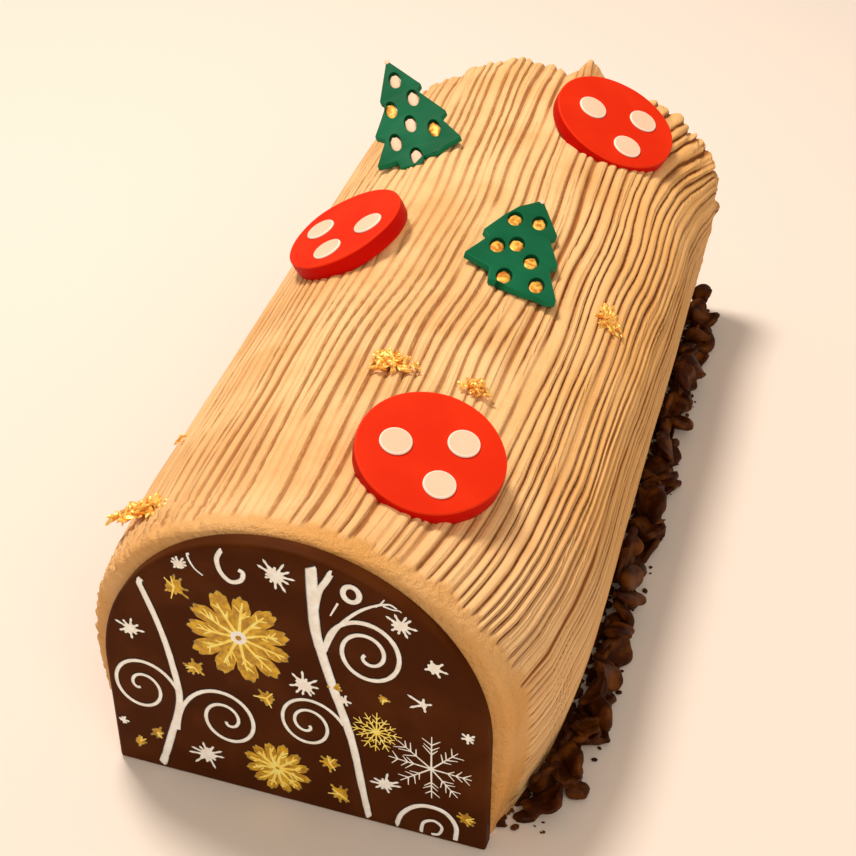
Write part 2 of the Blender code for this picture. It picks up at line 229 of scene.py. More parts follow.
def grow(name, bench, sizes, seed_data=None):
    """Run a tree on an object and keep the result as a plain mesh object at the origin."""
    data = seed_data or bpy.data.meshes.new(name + "_seed")
    holder = bpy.data.objects.new(name + "_holder", data)
    bpy.context.scene.collection.objects.link(holder)
    modifier = holder.modifiers.new(name, "NODES")
    modifier.node_group = bench.tree
    for item in bench.tree.interface.items_tree:
        if item.in_out == "INPUT" and item.name in sizes:
            modifier[item.identifier] = sizes[item.name]
    bpy.context.view_layer.update()
    graph = bpy.context.evaluated_depsgraph_get()
    mesh = bpy.data.meshes.new_from_object(holder.evaluated_get(graph))
    bpy.data.objects.remove(holder, do_unlink=True)
    mesh.name = name
    made = bpy.data.objects.new(name, mesh)
    bpy.context.scene.collection.objects.link(made)
    return made


print("bench ready")

# %% [markdown]
# ## Finishes
#
# Buttercream, chocolate and fondant are all matt to satin, and what tells them apart is
# small: buttercream is pale and slightly translucent, and its grooves look deeper in colour
# because they lie in shade and light bounces between warm walls; the buttercream finish
# paints that shade into its grooves, and paints its right side darker. Dark chocolate is
# smooth with a soft shine. Fondant is even, with faint dents; its finish paints a
# highlight on rounded rims and shade on cut sides. Gold leaf is a metal. Each finish reads
# Object coordinates, so its grain keeps its size wherever the piece lies.


# %% A helper that starts a finish
def finish(name, roughness=0.5, metallic=0.0, coat=0.0, coat_roughness=0.2, soft=0.0, shine=0.4):
    """A Principled material. Returns it with its bench, its shader node and its coordinates."""
    made = bpy.data.materials.new(name)
    made.use_nodes = True
    bench = Bench(made.node_tree)
    shader = made.node_tree.nodes["Principled BSDF"]
    shader.inputs["Roughness"].default_value = roughness
    shader.inputs["Metallic"].default_value = metallic
    shader.inputs["Coat Weight"].default_value = coat
    shader.inputs["Coat Roughness"].default_value = coat_roughness
    shader.inputs["Subsurface Weight"].default_value = soft
    shader.inputs["Subsurface Scale"].default_value = 0.8 * MM
    shader.inputs["Subsurface Radius"].default_value = (1.0, 0.5, 0.25)
    shader.inputs["Specular IOR Level"].default_value = shine
    place = bench.node("ShaderNodeTexCoord", output="Object")
    return made, bench, shader, place


def dents(bench, shader, height, strength, distance):
    """Join a height to the shader's normal."""
    bump = bench.node(
        "ShaderNodeBump", inputs={"Strength": strength, "Distance": distance, "Height": height},
    )
    bench.plug(shader.inputs["Normal"], bump)


# %% Buttercream
CREAM_CREST = (0.855, 0.522, 0.242, 1.0)
# The groove colour is painted shade for the grooves and the thin lines at their floors.
CREAM_GROOVE_SHADE = (0.300, 0.095, 0.018, 1.0)
CREAM_DEEP = (0.745, 0.405, 0.160, 1.0)
CREAM_BAND = (0.730, 0.335, 0.075, 1.0)
# The colour for the right side of the log is painted shade, as the key light reaches it less.
CREAM_FLANK_SHADE = (0.780, 0.395, 0.115, 1.0)

buttercream, bench, shader, place = finish("buttercream", roughness=0.62, soft=0.04, shine=0.12)


def stored(name):
    return bench.node("ShaderNodeAttribute", {"attribute_name": name}, output="Fac")


# How deep the comb's groove is here, which tooth made it, how hard that tooth pressed,
# and how near the seam of two strokes is. The groove depth also sets painted shade, the band
# marks the smooth front band, and a mask marks the right side of the log for its painted shade.
groove = stored("groove")
tooth = stored("tooth")
comb = stored("comb")
band = stored("band")
seam = stored("seam")
flank = stored("flank")
spot = bench.node("ShaderNodeSeparateXYZ", inputs={0: place})
along = spot.other("Y")
crest = bench.maths("FRACT", tooth)
ragged = bench.noise(place, scale=420.0, detail=2.0)
width = 0.035 + ragged * 0.16 + flank * 0.04
near_groove = bench.least(crest, 1.0 - crest)
line = 1.0 - bench.step(near_groove, width * 0.35, width)
own_tooth = bench.step(seam, 0.18, 0.04)     # away from the seams, where teeth are numbered anew
inside = comb * own_tooth
line = bench.most(line * own_tooth, bench.step(seam, 0.55, 0.80)) * comb
plateau = bench.step(crest, 0.02, 0.20) * bench.step(crest, 0.99, 0.90)
plateau = plateau * (1.0 - crest * 0.70) * inside
streak = bench.noise(bench.vector(tooth * 7.0, along * 26.0, 2.0), detail=2.0)
second = bench.maths("FRACT", tooth * 2.0 + 0.31)
second = bench.least(second, 1.0 - second)
number = bench.maths("FLOOR", tooth)
caught = bench.noise(bench.vector(number * 3.7, along * 15.0, 5.0), detail=1.0)
scratch = (1.0 - bench.step(second, width * 0.4, width * 1.8)) * bench.step(caught, 0.46, 0.60) * inside
mottle = bench.noise(place, scale=45.0, detail=4.0)
fine = bench.noise(place, scale=900.0, detail=3.0)
body = bench.blend(bench.step(mottle, 0.35, 0.70), CREAM_CREST, CREAM_DEEP)
body = bench.blend(bench.step(streak, 0.45, 0.80) * inside * 0.55, body, CREAM_DEEP)
# Painted shade: the right side of the log, which the key light reaches less, is tinted darker and browner, less so
# near the front.
body = bench.blend(flank * (0.45 + mottle * 0.5), body, CREAM_FLANK_SHADE)
body = bench.blend(bench.clamp(band * (0.30 + mottle * 0.6)), body, CREAM_BAND)
# Painted shade: the grooves, the thin lines at their floors and the scratches are darkened towards the groove colour,
# more so on the right side.
dark = bench.clamp(groove * 0.50 + line * 0.78 + scratch * (0.16 + flank * 0.30))
bench.plug(shader.inputs["Base Color"], bench.blend(dark, body, CREAM_GROOVE_SHADE))
bench.plug(shader.inputs["Roughness"], 0.55 + fine * 0.18)
grain = bench.noise(place, scale=2200.0, detail=2.0)
pits = bench.noise(place, scale=480.0, detail=5.0, rough=0.7) * (0.30 + band * 2.6)
height = plateau * 1.35 - scratch * 0.35 + streak * inside * 0.45 + fine * (0.42 + band * 0.6) + grain * 0.16 + pits
dents(bench, shader, height, 0.85, 0.55 * MM)
print("made", buttercream.name)

# %% Chocolate
CHOCOLATE = (0.060, 0.0135, 0.0022, 1.0)
CHOCOLATE_PATCH = (0.088, 0.022, 0.004, 1.0)
CURL_DARK = (0.034, 0.0070, 0.0010, 1.0)
CURL_WARM = (0.150, 0.043, 0.0055, 1.0)


def chocolate_finish(name, one, two, roughness, patch_scale, grain_scale, depth, coat, shine):
    made, bench, shader, place = finish(name, roughness=roughness, coat=coat, coat_roughness=0.3, shine=shine)
    patches = bench.noise(place, scale=patch_scale, detail=4.0)
    grain = bench.noise(place, scale=grain_scale, detail=3.0)
    colour = bench.blend(bench.step(patches, 0.40, 0.72), one, two)
    bench.plug(shader.inputs["Base Color"], colour)
    bench.plug(shader.inputs["Roughness"], roughness - 0.08 + grain * 0.2)
    dents(bench, shader, patches * 0.6 + grain * 0.4, 0.3, depth)
    return made


plaque_chocolate = chocolate_finish(
    "plaque_chocolate", CHOCOLATE, CHOCOLATE_PATCH, 0.42, 60.0, 900.0, 0.12 * MM, 0.0, 0.025,
)
curl_chocolate = chocolate_finish(
    "curl_chocolate", CURL_DARK, CURL_WARM, 0.40, 190.0, 1500.0, 0.3 * MM, 0.03, 0.06,
)
print("made", plaque_chocolate.name, curl_chocolate.name)


# %% Fondant
def fondant(name, colour, pale, dark, roughness=0.48, side=None):
    """Sugar paste: even, with faint dents. A painted highlight makes the rounded rims paler, and painted shade makes
    the cut sides and hole walls darker.
    """
    made, bench, shader, place = finish(name, roughness=roughness, soft=0.03, shine=0.05)
    edge = bench.node("ShaderNodeAttribute", {"attribute_name": "edge"}, output="Fac")
    clouds = bench.noise(place, scale=70.0, detail=3.0)
    powder = bench.noise(place, scale=1400.0, detail=2.0)
    body = bench.blend(bench.step(clouds, 0.35, 0.7), dark, colour)
    # Painted shade on the cut sides and hole walls, where edge is negative; painted highlight on the rounded rims,
    # where it is positive.
    shade = side or tuple(part * 0.70 for part in dark[:3]) + (1.0,)
    body = bench.blend(bench.clamp(edge * -1.0), body, shade)
    bench.plug(shader.inputs["Base Color"], bench.blend(bench.clamp(edge * 0.9), body, pale))
    bench.plug(shader.inputs["Roughness"], roughness - 0.06 + powder * 0.16)
    dents(bench, shader, clouds * 0.5 + powder * 0.5, 0.22, 0.15 * MM)
    return made


# Each fondant: its colour, its painted rim highlight, its darker cloud tone, and for the red its painted side shade.
red_fondant = fondant(
    "red_fondant", (0.71, 0.026, 0.003, 1), (0.80, 0.036, 0.006, 1), (0.66, 0.020, 0.002, 1),
    side=(0.56, 0.004, 0.001, 1),
)
ivory_fondant = fondant(
    "ivory_fondant", (0.82, 0.545, 0.385, 1), (1.00, 0.95, 0.84, 1), (0.79, 0.51, 0.35, 1),
)
green_fondant = fondant(
    "green_fondant", (0.006, 0.118, 0.048, 1), (0.010, 0.190, 0.090, 1), (0.004, 0.088, 0.034, 1),
    roughness=0.46,
)
print("made", red_fondant.name, ivory_fondant.name, green_fondant.name)

# %% Gold leaf and the prints
gold_leaf, bench, shader, place = finish("gold_leaf", roughness=0.34, metallic=0.45)
glint = bench.noise(place, scale=700.0, detail=3.0)
bench.plug(
    shader.inputs["Base Color"],
    bench.blend(bench.step(glint, 0.35, 0.65), (0.92, 0.36, 0.035, 1), (1.0, 0.72, 0.20, 1)),
)
bench.plug(shader.inputs["Roughness"], 0.22 + glint * 0.3)
dents(bench, shader, glint, 0.5, 0.2 * MM)

bead_gold, bench, shader, place = finish("bead_gold", roughness=0.4, metallic=0.25)
glint = bench.noise(place, scale=620.0, detail=3.0)
bench.plug(
    shader.inputs["Base Color"],
    bench.blend(bench.step(glint, 0.38, 0.62), (0.62, 0.19, 0.012, 1), (1.0, 0.56, 0.085, 1)),
)
bench.plug(shader.inputs["Roughness"], 0.30 + glint * 0.3)
dents(bench, shader, glint, 0.6, 0.3 * MM)


def print_finish(name, one, two, roughness):
    """Cocoa-butter print: a thin matt film, uneven where it was brushed."""
    made, bench, shader, place = finish(name, roughness=roughness)
    brush = bench.noise(place, scale=520.0, detail=4.0, rough=0.65)
    bench.plug(shader.inputs["Base Color"], bench.blend(bench.step(brush, 0.35, 0.68), one, two))
    bench.plug(shader.inputs["Roughness"], roughness - 0.05 + brush * 0.15)
    dents(bench, shader, brush, 0.25, 0.08 * MM)
    return made


ivory_print = print_finish("ivory_print", (0.90, 0.83, 0.73, 1), (1.0, 0.98, 0.93, 1), 0.5)
gold_print = print_finish("gold_print", (0.40, 0.19, 0.004, 1), (0.78, 0.44, 0.012, 1), 0.42)
bright_print = print_finish("bright_gold_print", (1.0, 0.68, 0.08, 1), (1.0, 0.88, 0.26, 1), 0.42)
line_print = print_finish("dark_line_print", (0.010, 0.004, 0.002, 1), (0.022, 0.008, 0.004, 1), 0.5)
print("made", gold_leaf.name, ivory_print.name, gold_print.name, bright_print.name, line_print.name)

# %% [markdown]
# ## The log's own measurements
#
# The solid's box gives the size. The section is an arch standing on sides that tuck in at
# the foot, and the cream draws in towards the plaque. Writing this down once, as four
# short functions, lets every later piece find the surface it lies on.

# %% Measurements of the log
low, high = (Vector(corner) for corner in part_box("cream_log"))
plaque_low, plaque_high = (Vector(corner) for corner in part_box("end_plaque"))
LOG_FRONT = -113.3 * MM
LOG_BACK = 118.5 * MM
HALF_WIDTH = 56.7 * MM
FRONT_HALF_WIDTH = 49.5 * MM
FRONT_SHIFT = -3.4 * MM
HEIGHT = 78.5 * MM
WIDEST_Z = 34.9 * MM
TUCK = 0.10                      # the foot is this much narrower than the widest place
SHOULDER = 50.0 * MM
PLAQUE_YAW = math.radians(-2.9)


def shoulder_share(y):
    """0 at the plaque, 1 where the cream has its full width."""
    along = min(max((y - LOG_FRONT) / SHOULDER, 0.0), 1.0)
    return 1.0 - (1.0 - along) ** 2.4


def half_width(y):
    return FRONT_HALF_WIDTH + (HALF_WIDTH - FRONT_HALF_WIDTH) * shoulder_share(y)


def middle_x(y):
    return FRONT_SHIFT * (1.0 - shoulder_share(y))


def surface_point(x, y):
    """A point on the upper side of the log, and how far it leans outwards there."""
    reach = (x - middle_x(y)) / half_width(y)
    rise = HEIGHT - WIDEST_Z
    z = WIDEST_Z + rise * math.sqrt(1.0 - reach * reach)
    return Vector((x, y, z)), math.atan2(reach / half_width(y), (z - WIDEST_Z) / (rise * rise))


def orient(place, roll, pitch=0.0, spin=0.0):
    """Lie flat at a place: roll leans to +X, pitch lowers or lifts the far edge."""
    turned = Matrix.Rotation(roll, 4, "Y") @ Matrix.Rotation(-pitch, 4, "X")
    return Matrix.Translation(place) @ turned @ Matrix.Rotation(spin, 4, "Z")


# the fondant rounds: (radius, thickness, dot radius), middle of the top face, in mm, roll
# and pitch in degrees, then the dots, in mm across and along the face
DISCS = (
    ("front", (16.45, 5.2, 3.65), (18.3, -82.0, 80.4), 13.0, -12.5,
     ((-7.6, -0.8), (6.3, 4.8), (4.7, -7.8))),
    ("left", (16.75, 4.6, 4.0), (-30.3, 8.9, 77.1), -27.7, -4.3,
     ((-8.4, 3.1), (8.3, -2.5), (-2.2, -9.3))),
    ("back", (18.45, 4.2, 4.2), (27.6, 88.7, 77.2), 24.8, -7.3,
     ((-7.7, -0.1), (7.4, 6.2), (6.1, -8.6))),
)
disc_places = {
    name: orient(Vector(place) * MM, math.radians(roll), math.radians(pitch))
    for name, sizes, place, roll, pitch, dots in DISCS
}
print("cream box (mm):", [round(v / MM, 1) for v in (*low, *high)])

# %% [markdown]
# ## The combed buttercream
#
# The real log is spread with buttercream and pulled along with a toothed scraper. Every
# pull of the scraper, a stroke, leaves about ten ridges. Where two strokes meet, the
# ridges pinch out or fork, and the hand's wobble bends them. Near the plaque the scraper
# was set down behind a smooth band, and on the right its first marks are hooked.
#
# We could displace a plain tube with a texture, but then ridges could not fork. Instead a
# Geometry Nodes tree bends a flat grid into the log: one direction of the grid goes round
# the section and the other goes along the log, its first and last rows closing the ends.
# The comb is a formula: the place round the section is split into strokes, each stroke
# into teeth, and a tooth's profile is a sine with its groove sharpened.

# %% The comb's sizes
CREAM_SIZES = {
    "Columns": 804,
    "Rows": 122,
    "Tooth Depth": 1.35 * MM,
    "Strokes": 7.0,
    "Teeth": 17.0,
    "Band": 3.2 * MM,
}
FLANK = 0.153        # share of the section's length from a foot to the widest place
FOOT_END = 0.96      # the rest of the grid's columns make the flat underside
FRONT_ROWS = 3 / 121
BACK_ROWS = 14 / 121
CROWD = 0.50         # how much closer the ridges lie on the sides than on top

# %% Build the tree that combs the cream
bench, size = shape_tree("combed_cream", CREAM_SIZES)
grid = bench.node(
    "GeometryNodeMeshGrid",
    inputs={
        "Size X": 1.0, "Size Y": 1.0, "Vertices X": size["Columns"], "Vertices Y": size["Rows"],
    },
)
spot = bench.node("ShaderNodeSeparateXYZ", inputs={0: bench.node("GeometryNodeInputPosition")})
column = bench.clamp(spot + 0.5)
row = bench.clamp(spot.other("Y") + 0.5)

even = bench.clamp(column / FOOT_END)
share = even - bench.maths("SINE", even * (2 * math.pi)) * (CROWD / (2 * math.pi))
under = bench.clamp((column - FOOT_END) / (1 - FOOT_END))
to_front = bench.clamp(1.0 - row / FRONT_ROWS)
to_back = bench.clamp((row - (1 - BACK_ROWS)) / BACK_ROWS)
run = bench.clamp((row - FRONT_ROWS) / (1 - FRONT_ROWS - BACK_ROWS))
eased = run - bench.maths("SINE", run * (2 * math.pi)) * (0.6 / (2 * math.pi))
y = eased * (LOG_BACK - LOG_FRONT) + LOG_FRONT


def wander(across_scale, along_scale, key, detail=1.0):
    """Noise between about -1 and 1 over the log. Scales are in turns and in metres."""
    where = bench.vector(share * across_scale, y * along_scale, key)
    return (bench.noise(where, detail=detail) - 0.5) * 3.0


# %% Where the hand moved the comb
right = bench.step(share, 0.44, 0.24)
far_right = bench.step(share, 0.26, 0.10)
behind = y - LOG_FRONT
near_front = bench.step(behind, 46 * MM, 8 * MM)
near_back = bench.step(y, 62 * MM, 122 * MM)
bent = even + wander(7.0, 6.0, 1.7) * (0.0014 + right * 0.0020)
bent = bent + wander(34.0, 16.0, 4.4) * (0.0012 + right * 0.0010)
bent = bent + right * wander(5.0, 28.0, 7.1) * 0.0024
bent = bent + right * wander(9.0, 95.0, 2.9) * 0.0011
bent = bent + near_back * right * 0.045
hook = bench.step(behind, 27 * MM, 13 * MM) * far_right
bent = bent + hook * 0.026 + hook * wander(3.0, 150.0, 3.3) * 0.0040

# %% Strokes, teeth and their profile
stroke_place = bent * size["Strokes"] + wander(1.2, 12.0, 11.0) * (0.035 + right * 0.050)
stroke = bench.maths("FLOOR", stroke_place)
within = stroke_place - stroke
more = bench.noise(bench.vector(stroke * 5.37, 0.5, 0.5)) * 4.0 - 2.0
teeth = size["Teeth"] + more
drift = bench.noise(bench.vector(stroke * 9.7, y * 11.0, 3.1), detail=1.0) * 2.0
tooth_place = within * teeth + drift
uneven = bench.noise(bench.vector(tooth_place * 0.45, stroke * 6.1, y * 9.0), detail=0.0)
tooth_place = tooth_place + (uneven - 0.5) * 1.5
tooth = bench.maths("FLOOR", tooth_place)
crest = tooth_place - tooth
leaned = bench.maths("SINE", (crest ** 0.82) * math.pi)
to_edge = bench.least(within, 1.0 - within) * teeth
pinch = bench.maths("SINE", bench.clamp(to_edge) * (math.pi / 2))
nearest = bench.maths("FLOOR", tooth_place + 0.5)
press = bench.noise(bench.vector(nearest * 4.13, stroke * 3.1, y * 16.0), detail=0.0)
weak = bench.step(press, 0.42, 0.30) * 0.72
narrow = 0.030 + far_right * 0.055       # the least height of a groove's floor, for the grid to catch
ridge = bench.most(bench.least(leaned, pinch), narrow) ** 0.30
spacing = 1.0 - bench.maths("COSINE", even * (2 * math.pi)) * CROWD

tooth_height = bench.noise(bench.vector(tooth * 3.71, stroke * 2.3, y * 7.0), detail=0.0)
pressure = bench.step(wander(6.0, 17.0, 21.0), -0.75, 0.30, 0.45, 1.0)
patch = bench.step(wander(10.0, 30.0, 33.0), 0.55, 0.95)
pressure = pressure * (1.0 - patch * 0.75)
band = size["Band"] + bench.step(share, 0.30, 0.08) * (3.5 * MM)
band = band + (bench.noise(bench.vector(tooth * 1.9, stroke, 6.6), detail=0.0) - 0.5) * (4 * MM)
started = bench.step(behind - band, -0.3 * MM, 2.0 * MM)
groove = (1.0 - ridge) * 1.3 * started * pressure * (1.0 - weak)
depth = groove * size["Tooth Depth"] * (spacing * 0.4 + 0.6) * (0.75 + tooth_height * 0.5)
depth = depth * (1.0 + right * 0.20 - far_right * 0.75)
depth = depth + started * bench.clamp(0.64 - tooth_height) * (1.0 - far_right * 0.7) * (0.70 * MM)

# %% Lumps, the ragged back edge and the hand-smoothed front band
left_front = bench.step(share, 0.50, 0.66) * bench.step(behind, 22 * MM, 6 * MM)
lumps = bench.noise(bench.vector(share * 9.0, y * 30.0, 40.0), detail=2.0) * (0.9 * MM)
smears = bench.noise(bench.vector(share * 34.0, y * 210.0, 44.0), detail=3.0, warp=1.5)
depth = depth + lumps + (1.0 - started) * smears * (0.9 * MM)
folds = bench.noise(bench.vector(share * 40.0, y * 190.0, 50.0), detail=3.0, warp=1.2)
depth = depth + left_front * bench.maths("ABSOLUTE", folds - 0.5) * (6.0 * MM) - left_front * (0.6 * MM)
lip = (behind - 1.3 * MM) / (1.0 * MM)
lip = bench.maths("EXPONENT", -(lip * lip)) * (0.4 + smears)
depth = depth - lip * (0.7 * MM)
rounding = bench.clamp(1.0 - (LOG_BACK - y) / (3.5 * MM))
depth = depth + (1.0 - bench.maths("SQRT", bench.clamp(1.0 - rounding * rounding))) * (1.1 * MM)
torn = bench.noise(bench.vector(share * 38.0, y * 60.0, 61.0), detail=3.0, warp=0.8)
torn = (torn - 0.42) * (4.2 * MM + right * (4.5 * MM))
depth = depth + bench.step(y, LOG_BACK - 18 * MM, LOG_BACK - 2 * MM) * torn
bulge = bench.step(share, 0.44, 0.30) * bench.step(share, 0.10, 0.24)
depth = depth - bulge * bench.step(y, -60 * MM, 60 * MM) * (2.2 * MM)
depth = depth - bulge * bench.step(y, 88 * MM, 117 * MM) * (2.4 * MM)
front_round = bench.clamp(1.0 - behind / (2.4 * MM))
depth = depth + front_round * front_round * (0.9 * MM)
smoothed = bench.clamp(to_back * 6.0)
depth = depth * (1.0 - smoothed) + smoothed * (0.8 * MM)
ragged = bench.noise(bench.vector(share * 26.0, 8.8, 0.0), detail=3.0, warp=0.6) * (6.0 * MM)
ragged = ragged + (1.0 - ridge) * pressure * (0.8 * MM) - 2.2 * MM
ragged = ragged * bench.step(y, LOG_BACK - 14 * MM, LOG_BACK - 1 * MM)
ragged = ragged * (1.0 - bench.clamp(to_back * 3.2)) ** 1.5

# %% Bend the grid into the log
shoulder = 1.0 - (1.0 - bench.clamp(behind / SHOULDER)) ** 2.4
half = shoulder * (HALF_WIDTH - FRONT_HALF_WIDTH) + FRONT_HALF_WIDTH
middle = (1.0 - shoulder) * FRONT_SHIFT
rise = HEIGHT - WIDEST_Z
up_side = bench.least(bench.clamp(share / FLANK), bench.clamp((1.0 - share) / FLANK))
low_part = 1.0 - up_side
angle = bench.clamp((share - FLANK) / (1 - 2 * FLANK)) * math.pi
across = bench.maths("COSINE", angle) * (1.0 - under * 2.0)
upward = bench.maths("SINE", angle)
out_x = across * rise
out_z = upward * half - low_part * half * (rise * 2 * TUCK / WIDEST_Z)
reach = bench.maths("SQRT", out_x * out_x + out_z * out_z)
lifted = bench.clamp(up_side * 9.0)
x_place = across * half * (1.0 - low_part * low_part * TUCK) - out_x / reach * depth * lifted
z_place = up_side * WIDEST_Z + upward * rise - out_z / reach * depth * lifted
near_peak_x = (x_place + middle - 15.0 * MM) / (4.2 * MM)
near_peak_y = (y - LOG_BACK + 3.2 * MM) / (4.2 * MM)
peak = bench.maths("EXPONENT", -(near_peak_x * near_peak_x + near_peak_y * near_peak_y))
peak = peak * bench.step(upward, 0.5, 0.9)
swell = (x_place + middle + 9.0 * MM) / (12.0 * MM)
swell = bench.maths("EXPONENT", -(swell * swell)) * bench.step(y, 84 * MM, 116 * MM)
z_place = z_place + peak * (7.5 * MM) + swell * bench.step(upward, 0.5, 0.9) * (3.4 * MM)

# %% Bed the fondant rounds in the cream
for name, (radius, thick, dot_radius), *rest in DISCS:
    where = disc_places[name]
    under_side = where @ Vector((0.0, 0.0, -thick * MM))
    normal = where.to_3x3() @ Vector((0.0, 0.0, 1.0))
    off_x = x_place + middle - under_side.x
    off_y = y - under_side.y
    plane = under_side.z - (off_x * normal.x + off_y * normal.y) / normal.z
    far = bench.maths("SQRT", off_x * off_x + off_y * off_y)
    below = bench.step(far, (radius - 0.5) * MM, (radius - 4.0) * MM) * bench.step(upward, 0.1, 0.4)
    z_place = z_place + bench.most(plane - z_place + 0.3 * MM, 0.0) * below
z_place = bench.most(z_place, 0.0)

# %% Close the two ends
closing = bench.most(to_front, to_back)
centre_z = 0.42 * HEIGHT
x_end = x_place * (1.0 - closing) + middle
z_end = z_place * (1.0 - closing) + closing * centre_z
skew = (1.0 - shoulder) * math.tan(PLAQUE_YAW)
swirl = bench.noise(
    bench.vector(x_end * 60.0, 3.0, z_end * 150.0 + x_end * 90.0), detail=3.0, warp=0.8,
)
spread = bench.maths("SINE", bench.clamp(to_back * 5.0) * (math.pi / 2))
y_end = y + x_end * skew - ragged + spread * ((swirl - 0.9) * 2.6 * MM)
y_end = y_end - bench.step(behind, 3.0 * MM, 0.0) * (0.65 * MM)

open_part = 1.0 - bench.clamp(closing * 5.0)
kept = grid
for name, value in (
    # The groove attribute is raised on the right, so the painted groove shade is stronger there.
    ("groove", groove * (0.80 + right * 0.55) * open_part),
    # On the left front the band's darker tint is weakened: painted light where the key light falls.
    ("band", (1.0 - started) * (1.0 - left_front * 0.45) * open_part + bench.clamp(to_back * 5.0) * 0.30),
    ("tooth", tooth_place + stroke * size["Teeth"]),
    ("comb", started * pressure * (1.0 - weak) * (0.80 + right * 0.50 + far_right * 0.35) * open_part),
    ("seam", (1.0 - pinch) * open_part),
    # Mask for the painted shade on the right side of the log, fading out towards the front.
    ("flank", right * bench.step(behind, 8 * MM, 80 * MM) * open_part),
):
    kept = bench.node(
        "GeometryNodeStoreNamedAttribute", {"data_type": "FLOAT", "domain": "POINT"},
        {"Geometry": kept, "Name": name, "Value": value},
    )
bent_grid = bench.node(
    "GeometryNodeSetPosition",
    inputs={"Geometry": kept, "Position": bench.vector(x_end, y_end, z_end)},
)
turned = bench.node("GeometryNodeFlipFaces", inputs={0: bent_grid})
closed = bench.node(
    "GeometryNodeMergeByDistance", inputs={"Geometry": turned, "Distance": 0.001 * MM},
)
smooth = bench.node("GeometryNodeSetShadeSmooth", inputs={"Geometry": closed})
finish_tree(bench, smooth, buttercream)
combed_cream = grow("combed_cream", bench, CREAM_SIZES)
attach(combed_cream, "root")
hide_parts("cream_log")
print("combed cream faces:", len(combed_cream.data.polygons))

# %% [markdown]
# ## The plaque
#
# The front end is closed by a plate of dark chocolate, cast flat and about four
# millimetres thick, cut to the shape of the log's end. A flat outline pushed back and
# given a rounded edge is all that it needs. Its face sits a hair behind the solid's, so
# that the print on it stays inside the solid's box.


# %% Small mesh helpers
def add_piece(name, mesh_builder, finish_used, sharp=None, fix=True):
    """Turn a bmesh into an object. Faces are smooth, except above the sharp angle."""
    if fix:
        bmesh.ops.recalc_face_normals(mesh_builder, faces=mesh_builder.faces)
    mesh = bpy.data.meshes.new(name)
    mesh_builder.to_mesh(mesh)
    mesh_builder.free()
    mesh.materials.append(finish_used)
    made = bpy.data.objects.new(name, mesh)
    bpy.context.scene.collection.objects.link(made)
    mesh.shade_smooth()
    if sharp:
        mesh.set_sharp_from_angle(angle=math.radians(sharp))
    return made


def settle_shape(item):
    """Bake an object's modifiers and its place into its mesh."""
    bpy.context.view_layer.update()
    graph = bpy.context.evaluated_depsgraph_get()
    mesh = bpy.data.meshes.new_from_object(item.evaluated_get(graph))
    mesh.transform(item.matrix_world)
    item.modifiers.clear()
    item.data = mesh
    item.matrix_world = Matrix.Identity(4)
    return item


def dress(piece, slot, *solids):
    """Hang a piece under the root body, hide the solids it replaces, and print its face count."""
    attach(piece, "root")
    if solids:
        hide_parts(*solids)
    print(piece.name, "faces:", len(piece.data.polygons))


# %% Cast the plaque
PLAQUE_HALF = 45.2 * MM
PLAQUE_STRAIGHT = 31.7 * MM
PLAQUE_THICK = 4.3 * MM
PLAQUE_FACE = 0.25 * MM
plaque_place = Matrix.Translation((FRONT_SHIFT, -118.0 * MM, 0.0)) @ Matrix.Rotation(PLAQUE_YAW, 4, "Z")


def cast_plaque():
    made = bmesh.new()
    corners = [(-PLAQUE_HALF, 0.0), (PLAQUE_HALF, 0.0)]
    for i in range(97):
        angle = math.pi * i / 96
        corners.append(
            (PLAQUE_HALF * math.cos(angle), PLAQUE_STRAIGHT + PLAQUE_HALF * math.sin(angle)),
        )
    face = made.faces.new([made.verts.new((x, PLAQUE_FACE, z)) for x, z in corners])
    grown = bmesh.ops.extrude_face_region(made, geom=[face])
    back = [v for v in grown["geom"] if isinstance(v, bmesh.types.BMVert)]
    bmesh.ops.translate(made, verts=back, vec=(0.0, PLAQUE_THICK - PLAQUE_FACE, 0.0))
    item = add_piece("chocolate_plaque", made, plaque_chocolate, sharp=35)
    item.matrix_world = plaque_place
    bevel = item.modifiers.new("rounded rim", "BEVEL")
    bevel.width = 0.8 * MM
    bevel.segments = 3
    bevel.limit_method = "ANGLE"
    bevel.angle_limit = math.radians(40)
    return settle_shape(item)


plaque = cast_plaque()
dress(plaque, "plaque", "end_plaque")

# %% [markdown]
# ## The print on the plaque
#
# The plaque carries a winter pattern in cocoa butter: ivory scrolls on two stems, ivory
# and gold stars, snowflakes and one large gold flower. Scrolls and stars like these are
# common on seasonal sweets, and each one here is drawn by a rule: a scroll is a spiral
# that tightens towards its centre, a star is a ring of uneven rays, and a flower is a
# ring of lobes with veins.
#
# Lines that follow a path are made by one Geometry Nodes tree. It carries a round profile
# along a curve, takes the width from the curve's own radius, and flattens the result to a
# thin film. The paths are drawn flat and then laid on the plaque.

